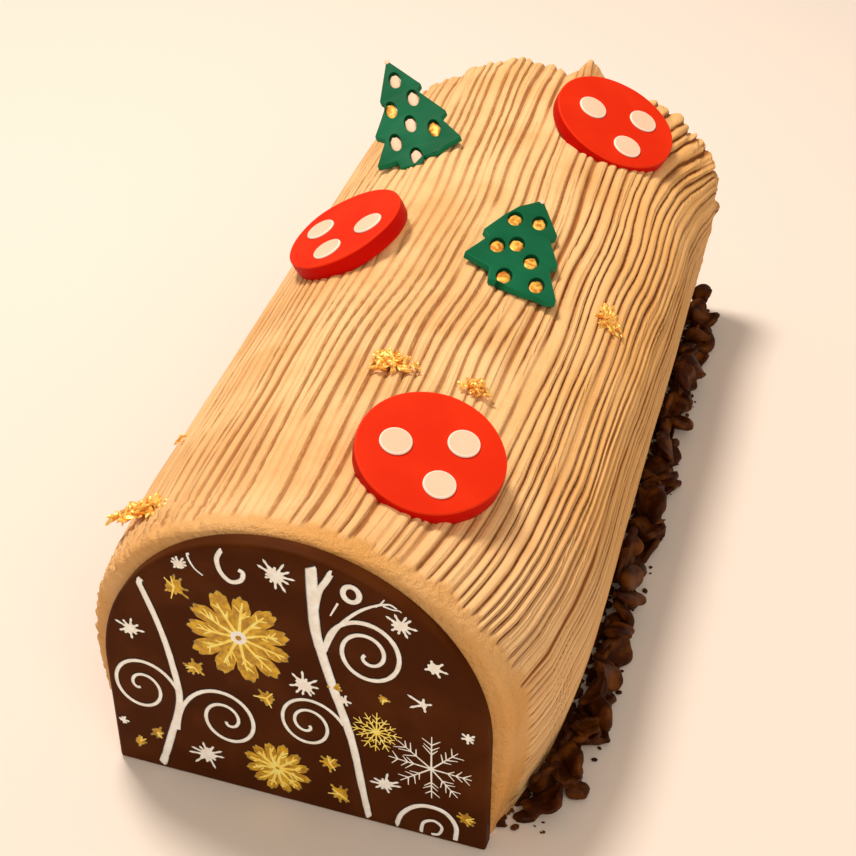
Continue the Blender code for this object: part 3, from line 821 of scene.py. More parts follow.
# %% The tree that turns a path into a film of colour
LINE_SIZES = {"Flatness": 0.22, "Sides": 8}
line_bench, size = shape_tree("drawn_line", LINE_SIZES)
profile = line_bench.node(
    "GeometryNodeCurvePrimitiveCircle", inputs={"Resolution": size["Sides"], "Radius": 1.0},
)
line_width = line_bench.node("GeometryNodeInputRadius")
film = line_bench.node(
    "GeometryNodeCurveToMesh",
    inputs={
        "Curve": size["Geometry"], "Profile Curve": profile, "Scale": line_width,
        "Fill Caps": True,
    },
)
at = line_bench.node(
    "ShaderNodeSeparateXYZ", inputs={0: line_bench.node("GeometryNodeInputPosition")},
)
flattened = line_bench.vector(at, at.other("Y"), at.other("Z") * size["Flatness"])
film = line_bench.node("GeometryNodeSetPosition", inputs={"Geometry": film, "Position": flattened})
film = line_bench.node("GeometryNodeSetShadeSmooth", inputs={"Geometry": film})
finish_tree(line_bench, film, ivory_print)
film_face = plaque_place @ Matrix.Rotation(math.pi / 2, 4, "X")


def smooth_path(points, fine=7):
    """Points on a smooth curve through the given ones."""
    ends = [points[0], *points, points[-1]]
    found = []
    for a, b, c, d in zip(ends, ends[1:], ends[2:], ends[3:]):
        for i in range(fine):
            t = i / fine
            found.append(tuple(
                0.5 * (2 * q + (r - p) * t + (2 * p - 5 * q + 4 * r - s) * t * t
                       + (3 * q - p - 3 * r + s) * t ** 3)
                for p, q, r, s in zip(a, b, c, d)
            ))
    found.append(tuple(points[-1]))
    return found


def on_face(x, z, margin=1.0):
    """Pull a point that strays over the plaque's rim back onto its flat face. In mm."""
    limit = PLAQUE_HALF / MM - margin
    spring = PLAQUE_STRAIGHT / MM
    x = max(-limit, min(limit, x))
    rise = max(z, margin) - spring
    far = math.hypot(x, rise)
    if rise > 0.0 and far > limit:
        x, rise = x * limit / far, rise * limit / far
    return x, rise + spring


def film_lines(name, lines, finish_used, wider=0.0, lift=0.0, flatness=0.22):
    """Lay lines on the plaque. A line is (points in mm, width at its start and end in mm)."""
    data = bpy.data.curves.new(name, "CURVE")
    data.dimensions = "3D"
    for points, first, last in lines:
        spline = data.splines.new("POLY")
        spline.points.add(len(points) - 1)
        for i, (point, (x, z)) in enumerate(zip(spline.points, points)):
            share_done = i / (len(points) - 1)
            wide = first + (last - first) * share_done
            x, z = on_face(x, z, 0.9 + wide / 2 + wider)
            point.co = (x * MM, z * MM, 0.0, 1.0)
            rough = 1.0 + 0.10 * noise.noise(Vector((x * 0.9, z * 0.9, first)))
            point.radius = (wide * rough / 2 + wider) * MM
    made = grow(name, line_bench, {**LINE_SIZES, "Flatness": flatness}, data)
    made.data.materials.clear()
    made.data.materials.append(finish_used)
    made.data.transform(film_face @ Matrix.Translation((0, 0, lift * MM - PLAQUE_FACE)))
    return made


# %% Stems and scrolls
def scroll(centre, radius, reach, start, turns, way):
    """A spiral that swings in from its stem at a reach, then tightens. Start is in degrees."""
    found = []
    steps = int(46 * turns)
    for i in range(steps + 1):
        done = i / steps
        far = radius * (1.0 - done) ** 0.6 + 0.5 + (reach - radius) * math.exp(-9.0 * done * turns)
        angle = math.radians(start) + way * done * turns * 2 * math.pi
        found.append((centre[0] + far * math.cos(angle), centre[1] + far * 1.12 * math.sin(angle)))
    return found


def above_foot(points, low=1.0):
    """The part of a line that lies on the plaque."""
    kept = []
    for point in points:
        if point[1] < low:
            break
        kept.append(point)
    return kept


stems = [
    (smooth_path([(-34.8, 61.2), (-30.7, 48.2), (-28.4, 36.8), (-27.5, 24.6), (-30.7, 12.3), (-34.1, 1.2)]), 1.4, 2.0),
    (smooth_path([(6.5, 75.4), (6.6, 59.1), (7.8, 50.9), (10.4, 39.9), (14.0, 25.6), (16.2, 10.3), (17.6, 1.0)]), 2.7, 1.6),
    (smooth_path([(11.2, 74.6), (9.8, 71.5), (8.0, 68.0), (7.0, 63.0)]), 1.5, 1.6),
    (smooth_path([(8.2, 50.2), (11.3, 58.0), (15.9, 64.2), (20.9, 67.9), (26.0, 69.5)]), 1.2, 0.4),
    (smooth_path([(20.3, 67.3), (21.6, 68.6), (22.6, 70.4)]), 0.5, 0.3),
    (smooth_path([(22.0, 68.0), (24.2, 67.6), (26.4, 67.9)]), 0.45, 0.3),
]
scrolls = [
    (scroll((-36.7, 26.2), 7.2, 9.0, 0.0, 1.60, 1), 1.0, 0.8),
    (scroll((-16.2, 22.0), 7.6, 13.6, 207.0, 1.85, -1), 1.1, 0.8),
    (scroll((18.2, 53.0), 8.0, 9.0, 188.0, 1.95, -1), 1.2, 0.9),
    (scroll((3.7, 27.4), 6.4, 8.3, 14.0, 1.85, 1), 0.9, 0.8),
    (smooth_path([(24.1, 1.1), (25.3, 5.4), (28.1, 8.9), (31.6, 10.4), (35.7, 9.7), (38.2, 6.0), (38.1, 1.5)]), 1.2, 1.2),
    (smooth_path([(30.0, 1.1), (30.6, 4.6), (33.0, 6.0), (34.9, 4.5), (34.2, 2.0), (32.5, 1.4)]), 0.9, 0.7),
    (smooth_path([(-13.4, 73.6), (-14.7, 70.6), (-14.1, 67.2), (-12.0, 65.1), (-9.6, 66.0), (-8.9, 68.2), (-9.9, 68.9)]), 1.2, 1.1),
]
thin_lines = [
    (smooth_path([(-21.7, 71.6), (-21.3, 68.9), (-20.1, 66.5), (-18.3, 65.0)]), 0.6, 0.35),
    (smooth_path([(10.3, 61.9), (12.1, 65.9)]), 0.35, 0.6),
]
ring = [
    (15.1 + 1.8 * math.cos(i * math.pi / 12), 69.2 + 2.1 * math.sin(i * math.pi / 12)) for i in range(25)
]
ivory_lines = stems + scrolls + thin_lines + [(ring, 1.3, 1.3)]


# %% Line snowflakes
def snowflake(centre, radius, arms, seed, width, twigs=2):
    """Straight arms with pairs of twigs, a little uneven, as a hand draws them."""
    rand = random.Random(seed)
    found = []
    for arm in range(arms):
        angle = 2 * math.pi * (arm + rand.uniform(-0.12, 0.12)) / arms
        length = radius * rand.uniform(0.82, 1.05)
        way = (math.cos(angle), math.sin(angle))
        tip = (centre[0] + way[0] * length, centre[1] + way[1] * length)
        found.append(([centre, ((centre[0] + tip[0]) / 2, (centre[1] + tip[1]) / 2), tip], width, width * 0.5))
        for twig in range(twigs):
            out = length * (0.42 + 0.50 * twig / twigs + rand.uniform(-0.04, 0.04))
            base = (centre[0] + way[0] * out, centre[1] + way[1] * out)
            for side in (-1, 1):
                lean = angle + side * math.radians(rand.uniform(38, 56))
                size_of = length * rand.uniform(0.20, 0.30)
                end = (base[0] + size_of * math.cos(lean), base[1] + size_of * math.sin(lean))
                mid = ((base[0] + end[0]) / 2, (base[1] + end[1]) / 2)
                found.append(([base, mid, end], width * 0.8, width * 0.4))
    return found


ivory_flake = snowflake((32.4, 22.9), 9.8, 8, 3, 0.48, 3)
gold_flake = snowflake((19.9, 30.4), 5.9, 12, 5, 0.46, 2)

outline_lines = film_lines(
    "print_outlines", stems + scrolls + [(ring, 1.3, 1.3)] + thin_lines[:1], line_print, 0.24, 0.03, 0.02,
)
ivory_scrolls = film_lines("print_ivory_scrolls", ivory_lines + ivory_flake, ivory_print, 0.0, 0.08)
dress(outline_lines, "plaque")
dress(ivory_scrolls, "plaque")


# %% Stars and flowers
def splat(made, centre, outline, lift, thick=0.10):
    """A flat shape round a centre, given as (angle, radius in mm), domed a little."""
    middle = made.verts.new((centre[0] * MM, centre[1] * MM, (lift + thick) * MM))
    under = made.verts.new((centre[0] * MM, centre[1] * MM, (lift - 0.12) * MM))
    rims = ([], [])
    for angle, far in outline:
        x, z = on_face(centre[0] + far * math.cos(angle), centre[1] + far * math.sin(angle))
        for rim, height in zip(rims, (lift + 0.02, lift - 0.12)):
            rim.append(made.verts.new((x * MM, z * MM, height * MM)))
    count = len(outline)
    for i in range(count):
        j = (i + 1) % count
        made.faces.new((middle, rims[0][i], rims[0][j]))
        made.faces.new((rims[0][i], rims[1][i], rims[1][j], rims[0][j]))
        made.faces.new((under, rims[1][j], rims[1][i]))


def star_outline(radius, rays, seed, core=0.30, wider=0.0):
    """Uneven thin rays round a small core, as a loaded brush leaves them."""
    rand = random.Random(seed)
    found = []
    for ray in range(rays):
        angle = 2 * math.pi * (ray + rand.uniform(-0.26, 0.26)) / rays
        step = math.pi / rays
        far = radius * rand.choice((0.58, 0.80, 1.02)) * rand.uniform(0.88, 1.10)
        near = radius * core * rand.uniform(0.80, 1.25)
        half = 0.23 + wider * 0.8
        for out, side in ((0.35, -1), (0.75, -1), (1.0, 0), (0.75, 1), (0.35, 1)):
            reach = near + (far - near) * out + wider
            swell = 1.35 if out == 0.75 else 1.0
            found.append((angle + side * half * swell / reach, reach))
        found.append((angle + step, near + wider))
    return found


def flower_outline(radius, lobes, seed, wider=0.0):
    """Ragged petals: each one has its own length and lean, and a toothed tip."""
    rand = random.Random(seed)
    lengths = [rand.uniform(0.72, 1.12) for _ in range(lobes)]
    leans = [rand.uniform(0.7, 1.4) for _ in range(lobes)]
    found = []
    for i in range(lobes * 12):
        turn = i / 12
        petal = int(turn) % lobes
        inside = (turn - math.floor(turn)) ** leans[petal]
        lobe = math.sin(math.pi * inside) ** 0.5
        teeth = abs(math.sin(3.5 * math.pi * inside + petal)) * 0.09 * lobe
        far = radius * (0.60 + 0.36 * lobe * lengths[petal] + teeth)
        found.append((2 * math.pi * turn / lobes, far + wider))
    return found


ivory_stars = (
    (-23.7, 66.7, 2.4, 11), (-1.7, 69.6, 4.2, 12), (-37.7, 43.9, 3.6, 9), (25.8, 63.6, 3.4, 10),
    (33.0, 53.6, 3.0, 7), (30.6, 42.2, 3.7, 5), (40.7, 35.3, 1.8, 7), (3.4, 39.4, 4.0, 11),
    (12.6, 37.6, 1.8, 6), (-21.9, 8.8, 4.6, 11), (21.5, 14.0, 3.7, 10), (-42.9, 13.3, 1.6, 7),
)
gold_stars = (
    (-25.5, 59.7, 3.9, 8), (-22.8, 36.6, 3.0, 8), (-5.8, 32.4, 3.3, 8), (10.6, 41.0, 1.7, 6),
    (21.6, 40.8, 1.6, 9), (-39.1, 7.4, 2.2, 7), (-34.3, 11.9, 2.4, 7), (8.5, 16.6, 3.2, 8),
    (10.6, 6.8, 3.4, 8), (40.6, 9.3, 2.6, 8),
)
flowers = ((-11.2, 49.2, 12.4, 11), (-4.4, 10.3, 8.0, 12))


def lay_film(name, mesh_builder, finish_used):
    made = add_piece(name, mesh_builder, finish_used, sharp=50)
    made.data.transform(film_face @ Matrix.Translation((0, 0, -PLAQUE_FACE)))
    return made


dark_films = bmesh.new()
ivory_films = bmesh.new()
gold_films = bmesh.new()
for number, (x, z, radius, rays) in enumerate(ivory_stars):
    core = 0.20 if rays == 5 else 0.38
    splat(ivory_films, (x, z), star_outline(radius, rays, 10 + number, core), 0.06)
    splat(dark_films, (x, z), star_outline(radius, rays, 10 + number, core, 0.22), 0.02, 0.0)
for number, (x, z, radius, rays) in enumerate(gold_stars):
    lift = 0.22 if number == 3 else 0.06
    splat(gold_films, (x, z), star_outline(radius, rays, 40 + number, 0.50), lift)
    splat(dark_films, (x, z), star_outline(radius, rays, 40 + number, 0.50, 0.24), 0.02, 0.0)
for number, (x, z, radius, lobes) in enumerate(flowers):
    splat(gold_films, (x, z), flower_outline(radius, lobes, 60 + number), 0.06)
    splat(dark_films, (x, z), flower_outline(radius, lobes, 60 + number, 0.35), 0.02, 0.0)
splat(ivory_films, (-11.2, 49.2), [(math.radians(i * 20), 1.9) for i in range(18)], 0.24)
splat(gold_films, (-11.2, 49.2), [(math.radians(i * 30), 0.7) for i in range(12)], 0.34)
dress(lay_film("print_dark_edges", dark_films, line_print), "plaque")
dress(lay_film("print_ivory_stars", ivory_films, ivory_print), "plaque")
dress(lay_film("print_gold", gold_films, gold_print), "plaque")


# %% Bright veins on the gold
def veins(centre, radius, lobes, seed, start, twigs):
    """A line up the middle of each lobe, with twigs."""
    rand = random.Random(seed)
    found = []
    for lobe in range(lobes):
        angle = 2 * math.pi * (lobe + 0.5 + rand.uniform(-0.1, 0.1)) / lobes
        way = (math.cos(angle), math.sin(angle))
        bend = rand.uniform(-0.6, 0.6)
        path = []
        for done in (0.0, 0.5, 1.0):
            far = start + (radius * rand.uniform(0.80, 0.94) - start) * done
            side = bend * math.sin(math.pi * done)
            path.append((centre[0] + way[0] * far - way[1] * side, centre[1] + way[1] * far + way[0] * side))
        found.append((smooth_path(path, 4), 0.95, 0.50))
        for twig in range(twigs):
            out = start + (radius - start) * rand.uniform(0.30, 0.72)
            base = (centre[0] + way[0] * out, centre[1] + way[1] * out)
            lean = angle + rand.choice((-1, 1)) * math.radians(rand.uniform(30, 50))
            long = radius * rand.uniform(0.14, 0.24)
            end = (base[0] + long * math.cos(lean), base[1] + long * math.sin(lean))
            found.append(([base, ((base[0] + end[0]) / 2, (base[1] + end[1]) / 2), end], 0.6, 0.3))
    return found


bright = veins((-11.2, 49.2), 11.6, 11, 8, 1.6, 4) + veins((-4.4, 10.3), 7.4, 12, 9, 0.5, 3)
bright += gold_flake
for number, (x, z, radius, rays) in enumerate(gold_stars):
    rand = random.Random(80 + number)
    for _ in range(3):
        angle = rand.uniform(0, 2 * math.pi)
        far = radius * rand.uniform(0.6, 0.95)
        tip = (x + far * math.cos(angle), z + far * math.sin(angle))
        bright.append(([(x, z), ((x + tip[0]) / 2, (z + tip[1]) / 2), tip], 0.55, 0.3))
bright_veins = film_lines("print_gold_veins", bright, bright_print, 0.0, 0.16)
dress(bright_veins, "plaque")

# %% [markdown]
# ## Fondant discs and their dots
#
# The red discs and the ivory dots are cut from rolled fondant with round cutters. The
# cutter leaves a softly rounded upper edge, and the side bulges slightly. We lathe a
# profile round an axis: a few rings of points, closed at both faces. An "edge" attribute
# marks the rounded rim and the side, and the finish reads it: it paints a highlight on the
# rim and shade on the side.


# %% Lathe a fondant round
def fondant_round(made, layer, radius, thick, rim, where, key, sides=96, egg=(0.0, 0.0)):
    """A cut round whose top face is at z = 0, in mm. Egg is the angle and size of a bulge."""
    # The third value of each profile point is the edge attribute: up to 1 on the rounded rim for its painted
    # highlight, -1 on the side for its painted shade.
    profile = [(0.0, 0.0, 0.0), (radius * 0.45, 0.0, 0.0), (radius - rim * 1.6, 0.0, 0.0)]
    for i in range(6):
        angle = math.pi / 2 * i / 5
        out = radius - rim + rim * math.sin(angle)
        profile.append((out, -rim + rim * math.cos(angle), 0.25 + 0.75 * math.sin(angle)))
    profile.append((radius + 0.02, -rim * 1.5, -1.0))
    profile.append((radius + thick * 0.02, -thick * 0.55, -1.0))
    profile.append((radius - 0.10, -thick + rim * 0.4, -1.0))
    profile.append((radius - rim * 0.5, -thick, -1.0))
    profile.append((0.0, -thick, -1.0))
    rings = []
    for far, height, edge in profile:
        ring = []
        for i in range(sides if far else 1):
            angle = 2 * math.pi * i / sides
            wave = noise.noise(Vector((math.cos(angle) * 1.3, math.sin(angle) * 1.3, key)))
            sink = noise.noise(Vector((math.cos(angle) * far * 0.12, math.sin(angle) * far * 0.12, key + 5)))
            bulge = math.exp(-2.0 * (1.0 - math.cos(angle - math.radians(egg[0]))) / 0.25)
            out = far * (1.0 + 0.008 * wave + egg[1] * bulge)
            spot = Vector((out * math.cos(angle), out * math.sin(angle), height + 0.12 * sink)) * MM
            vert = made.verts.new(where @ spot)
            vert[layer] = edge
            ring.append(vert)
        rings.append(ring)
    for near, far in zip(rings, rings[1:]):
        for i in range(sides):
            j = (i + 1) % sides
            corners = (near[i % len(near)], far[i % len(far)], far[j % len(far)], near[j % len(near)])
            kept = []
            for corner in corners:
                if corner not in kept:
                    kept.append(corner)
            made.faces.new(kept)


EGGS = {"front": (0.0, 0.047), "left": (132.0, 0.035), "back": (40.0, 0.030)}
for number, (name, (radius, thick, dot_radius), place, roll, pitch, dots) in enumerate(DISCS):
    where = disc_places[name]
    cut = bmesh.new()
    edge = cut.verts.layers.float.new("edge")
    fondant_round(cut, edge, radius, thick, 0.35, where, 3.0 + number, egg=EGGS[name])
    dress(add_piece("red_disc_" + name, cut, red_fondant, sharp=60), "red_fondant", "disc_" + name)
    for dot, (across, along) in enumerate(dots, 1):
        cut = bmesh.new()
        edge = cut.verts.layers.float.new("edge")
        spot = where @ Matrix.Translation((across * MM, along * MM, 0.55 * MM))
        fondant_round(cut, edge, dot_radius, 0.8, 0.32, spot, 11.0 + dot + 3 * number, 48)
        piece = add_piece(f"ivory_dot_{name}_{dot}", cut, ivory_fondant, sharp=60)
        dress(piece, "ivory_fondant", f"dot_{name}_{dot}")

# %% [markdown]
# ## Fir trees
#
# The trees come from a fir cutter, with small round holes punched through them and sugar
# beads pressed in the holes. A flat curve can hold an outline and the holes inside it,
# and its own extrusion and bevel give the thickness and the rounded edge, so the tree is
# drawn as a curve and made a mesh at the end.

# %% Cut the trees
TREE_THICK = 2.0
TREES = {
    "left": {
        "place": orient(
            Vector((-30.9, 71.6, 78.2)) * MM,
            math.radians(-10.8), math.radians(-20.6), math.radians(25.1),
        ),
        "apex": (-0.1, 25.4),
        "left": ((-6.0, 9.0), (-4.6, 6.6), (-10.6, -4.4), (-8.0, -7.2), (-12.6, -16.4), (-6.6, -17.0)),
        "right": ((7.2, 10.1), (5.4, 8.2), (11.4, -4.7), (9.2, -6.6), (12.8, -16.8), (7.2, -18.0)),
        "foot": ((5.0, -19.6), (0.8, -18.8), (-2.2, -20.9), (-6.4, -20.3)),
        "holes": (
            (0.3, 15.6), (3.6, 5.6), (-3.6, 4.0), (0.4, -4.4), (6.4, -9.6), (-5.4, -9.6), (-1.0, -17.9),
        ),
        "gold": (2, 4),
        "hole": (1.74, 3.60),
    },
    "middle": {
        "place": orient(Vector((16.2, 10.6, 76.3)) * MM, math.radians(14.0)),
        "apex": (0.9, 25.0),
        "left": ((-4.4, 18.0), (-7.0, 11.6), (-10.2, 1.6), (-8.2, -0.4), (-12.0, -11.4), (-4.6, -13.6)),
        "right": ((8.3, 10.4), (6.5, 8.3), (11.3, -2.8), (9.4, -5.6), (14.3, -18.4), (11.6, -19.6)),
        "foot": ((8.8, -19.0), (6.2, -19.5), (1.6, -19.4), (-1.4, -18.8), (-3.6, -18.7)),
        "holes": (
            (-3.8, 11.6), (2.6, 13.6), (-5.1, -3.2), (-0.6, 0.3), (4.6, -5.3), (-0.3, -15.4), (8.2, -14.6),
        ),
        "gold": (0, 1, 2, 3, 4, 5, 6),
        "hole": (2.02, 3.47),
    },
}


def closed_line(data, points):
    """Add a closed line to a flat curve."""
    spline = data.splines.new("POLY")
    spline.points.add(len(points) - 1)
    for point, (x, y) in zip(spline.points, points):
        point.co = (x * MM, y * MM, 0.0, 1.0)
    spline.use_cyclic_u = True


def rounded(points, cut=0.35):
    """Replace each corner of an outline by three points, cut back by a small length."""
    found = []
    for i, here in enumerate(points):
        here = Vector(here)
        before = Vector(points[i - 1])
        after = Vector(points[(i + 1) % len(points)])
        one = here + (before - here).normalized() * min(cut, (before - here).length * 0.4)
        two = here + (after - here).normalized() * min(cut, (after - here).length * 0.4)
        found += [tuple(one), tuple((one + two + here * 2) / 4), tuple(two)]
    return found


def by_hole(point, tree):
    """True for a corner on the wall of one of the tree's holes."""
    return any(
        math.hypot(
            (point.x / MM - across) / (tree["hole"][0] + 0.3),
            (point.y / MM - along) / (tree["hole"][1] + 0.3),
        ) < 1.03
        for across, along in tree["holes"]
    )


def cut_tree(name, tree):
    data = bpy.data.curves.new(name, "CURVE")
    data.dimensions = "2D"
    data.fill_mode = "BOTH"
    bevel = 0.22 * MM
    data.offset = -bevel
    data.extrude = TREE_THICK / 2 * MM - bevel
    data.bevel_depth = bevel
    data.bevel_resolution = 3
    corners = [tree["apex"], *tree["right"], *tree["foot"], *reversed(tree["left"])]
    closed_line(data, rounded(corners))
    for across, along in tree["holes"]:
        closed_line(data, [
            (
                across + tree["hole"][0] * math.cos(i * math.pi / 14),
                along + tree["hole"][1] * math.sin(i * math.pi / 14),
            )
            for i in range(28)
        ])
    drawn = bpy.data.objects.new(name + "_curve", data)
    bpy.context.scene.collection.objects.link(drawn)
    bpy.context.view_layer.update()
    mesh = bpy.data.meshes.new_from_object(drawn)
    bpy.data.objects.remove(drawn, do_unlink=True)
    cut = bmesh.new()
    cut.from_mesh(mesh)
    bmesh.ops.remove_doubles(cut, verts=cut.verts, dist=0.001 * MM)
    edge = cut.verts.layers.float.new("edge")
    for vert in cut.verts:
        top = vert.co.z > (TREE_THICK / 2 - 0.02) * MM
        # Edge attribute for painted light: hole walls get painted shade, the dark crescents; outer sides and bevel get
        # a painted highlight.
        vert[edge] = 0.0 if top else (-1.0 if by_hole(vert.co, tree) else 1.0)
    cut.transform(tree["place"] @ Matrix.Translation((0, 0, TREE_THICK / 2 * MM)))
    return add_piece(name, cut, green_fondant, sharp=50)


for name, tree in TREES.items():
    dress(cut_tree("fir_tree_" + name, tree), "green_fondant", "tree_" + name)

# %% Sugar beads in the holes, and a painted highlight at each apex
beads = {"gold": bmesh.new(), "ivory": bmesh.new()}
for name, tree in TREES.items():
    for number, (across, along) in enumerate(tree["holes"]):
        kind = "gold" if number in tree["gold"] else "ivory"
        nearer = tree["place"].to_3x3().inverted() @ Vector((0.0, -0.22, 0.0))
        spot = tree["place"] @ Matrix.Translation(
            ((across + nearer.x) * MM, (along + nearer.y) * MM, (TREE_THICK - 0.95) * MM)
        )
        bead = bmesh.ops.create_icosphere(beads[kind], subdivisions=3, radius=1.0)
        for vert in bead["verts"]:
            crumple = 1.0 + 0.16 * noise.noise(vert.co * 2.2 + Vector((number, 3.0, 1.0)))
            vert.co = spot @ Vector((
                vert.co.x * tree["hole"][0] * 0.90 * crumple * MM,
                vert.co.y * tree["hole"][1] * 0.90 * crumple * MM,
                vert.co.z * 0.60 * crumple * MM,
            ))
    # An ivory dab at each apex stands in for the white highlight there: a painted highlight.
    tip = tree["apex"]
    spot = tree["place"] @ Matrix.Translation(
        (tip[0] * MM, (tip[1] - 0.9) * MM, (TREE_THICK - 0.1) * MM)
    )
    dab = bmesh.ops.create_icosphere(beads["ivory"], subdivisions=2, radius=1.0)
    for vert in dab["verts"]:
        vert.co = spot @ (Vector((vert.co.x * 0.8, vert.co.y * 1.1, vert.co.z * 0.35)) * MM)
dress(add_piece("gold_beads", beads["gold"], bead_gold), "gold_leaf")
dress(add_piece("ivory_beads_and_apex_highlights", beads["ivory"], ivory_fondant), "ivory_fondant")

# %% [markdown]
# ## Gold leaf
#
# Gold leaf is far too thin to keep a shape. Picked up with tweezers and dabbed on cream,
# it crumples into a clump of bright flakes and short strands. One small flake is enough:
# a Geometry Nodes tree scatters copies of it in an oval, tilts each one, and crumples the
# whole clump with noise once the copies are real mesh.

# %% The tree that dabs gold leaf
DAB_SIZES = {
    "Count": 60, "Half Across": 6.0 * MM, "Half Along": 4.5 * MM, "Heap": 1.4 * MM,
    "Flake": 1.5 * MM, "Seed": 1,
}
dab_bench, size = shape_tree("gold_dab", DAB_SIZES)


def chance(bench, seed, low, high):
    """A random value for each point."""
    return bench.node(
        "FunctionNodeRandomValue", {"data_type": "FLOAT"}, {2: low, 3: high, 8: seed}, output=1,
    )


far = chance(dab_bench, size["Seed"], 0.0, 1.0) ** 0.62
angle = chance(dab_bench, size["Seed"] + 7, 0.0, 2 * math.pi)
arms = dab_bench.maths("SINE", angle * 3.0 + size["Seed"]) * 0.22 + 0.80
across = dab_bench.maths("COSINE", angle) * far * arms * size["Half Across"]
along = dab_bench.maths("SINE", angle) * far * arms * size["Half Along"]
heap = (1.0 - far * 0.85) * chance(dab_bench, size["Seed"] + 11, 0.0, 1.0) * size["Heap"]
points = dab_bench.node(
    "GeometryNodePoints",
    inputs={"Count": size["Count"], "Position": dab_bench.vector(across, along, heap)},
)
flake = dab_bench.node(
    "GeometryNodeMeshUVSphere", inputs={"Segments": 8, "Rings": 5, "Radius": 1.0},
)
flake = dab_bench.node(
    "GeometryNodeTransform", inputs={"Geometry": flake, "Scale": (1.0, 0.36, 0.16)},
)
tilt = chance(dab_bench, size["Seed"] + 13, -0.9, 0.9)
lean = chance(dab_bench, size["Seed"] + 17, -0.8, 0.8)
turn = angle + chance(dab_bench, size["Seed"] + 19, -1.1, 1.1)
grown = size["Flake"] * chance(dab_bench, size["Seed"] + 23, 0.45, 1.15)
dabbed = dab_bench.node(
    "GeometryNodeInstanceOnPoints",
    inputs={
        "Points": points, "Instance": flake, "Rotation": dab_bench.vector(tilt, lean, turn),
        "Scale": dab_bench.vector(grown, grown, grown),
    },
)
dabbed = dab_bench.node("GeometryNodeRealizeInstances", inputs={"Geometry": dabbed})
here = dab_bench.node("GeometryNodeInputPosition")
bend_x = (dab_bench.noise(here, scale=900.0) - 0.5) * (0.9 * MM)
bend_y = (dab_bench.noise(here, scale=1100.0, detail=1.0) - 0.5) * (0.8 * MM)
bend_z = (dab_bench.noise(here, scale=1500.0, detail=1.0) - 0.5) * (1.0 * MM)
dabbed = dab_bench.node(
    "GeometryNodeSetPosition",
    inputs={"Geometry": dabbed, "Offset": dab_bench.vector(bend_x, bend_y, bend_z)},
)
finish_tree(dab_bench, dabbed, gold_leaf)

# %% Dab the gold
# name, place (mm), half size (mm), count, flake (mm), seed
DABS = (
    ("front", -44.0, -97.0, 9.6, 3.4, 96, 2.1, 3),
    ("fleck", -46.8, -68.3, 1.6, 1.2, 10, 1.1, 5),
    ("middle", 0.3, -50.0, 6.6, 4.6, 90, 1.6, 8),
    ("beside_disc", 20.6, -50.6, 4.6, 3.2, 46, 1.5, 15),
    ("right", 42.4, 3.2, 4.8, 5.9, 96, 1.7, 21),
)
for name, across, along, half_across, half_along, count, flake_size, seed in DABS:
    dab_sizes = {
        "Count": count, "Half Across": half_across * MM, "Half Along": half_along * MM,
        "Heap": 1.5 * MM, "Flake": flake_size * MM, "Seed": seed,
    }
    dab = grow("gold_leaf_dab_" + name, dab_bench, dab_sizes)
    place, roll = surface_point(across * MM, along * MM)
    lean = 0.55 if name == "front" else 1.0
    dab.data.transform(orient(place, roll * lean) @ Matrix.Translation((0.0, 0.0, 0.35 * MM)))
    solids = ["gold_leaf_" + name] if name != "fleck" else []
    dress(dab, "gold_leaf", *solids)

# %% [markdown]
# ## Chocolate along the foot
#
# Shavings, broken chips and rounded lumps of dark chocolate hide the line where the log
# meets the board. The solids give the larger pieces and their places. Their facets come
# from the solid model, so each kind is joined, remeshed finely, smoothed and dented, which
# turns them into pieces with soft, slightly melted edges.

# %% Soften the larger pieces
KINDS = ("curl", "chip", "pebble", "shard")


def soften(kind):
    names = [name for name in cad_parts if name.startswith(kind + "_")]
    joined = bmesh.new()
    for name in names:
        joined.from_mesh(bpy.data.objects[name].data)
    bmesh.ops.remove_doubles(joined, verts=joined.verts, dist=0.005 * MM)
    rough = add_piece(f"chocolate_{kind}s", joined, curl_chocolate, fix=False)
    remesh = rough.modifiers.new("even faces", "REMESH")
    remesh.mode = "VOXEL"
    remesh.voxel_size = 0.55 * MM
    ease = rough.modifiers.new("soft edges", "SMOOTH")
    ease.factor = 0.6
    ease.iterations = 4
    settle_shape(rough)
    dented = bmesh.new()
    dented.from_mesh(rough.data)
    for vert in dented.verts:
        push = noise.noise(vert.co * 260.0) * 0.45 + noise.noise(vert.co * 900.0) * 0.12
        vert.co += vert.normal * push * MM
        vert.co.z = max(vert.co.z, 0.0)
    dented.to_mesh(rough.data)
    dented.free()
    rough.data.shade_smooth()
    rough.data.materials.clear()
    rough.data.materials.append(curl_chocolate)
    dress(rough, "chocolate", *names)


for kind in KINDS:
    soften(kind)

# %% [markdown]
# Between the larger pieces lie many small ones. Each is a strip of chocolate rolled
# across its width and tapered at both ends, as a knife makes it. The strips are set down
# one by one: turned at random, leaned on the log, and pushed out until they clear it.


# %% Shavings between the larger pieces
def side_x(y, z):
    """Distance of the cream's side from the log's middle at a height."""
    if z < WIDEST_Z:
        below = (WIDEST_Z - z) / WIDEST_Z
        return half_width(y) * (1.0 - TUCK * below * below)
    return half_width(y)


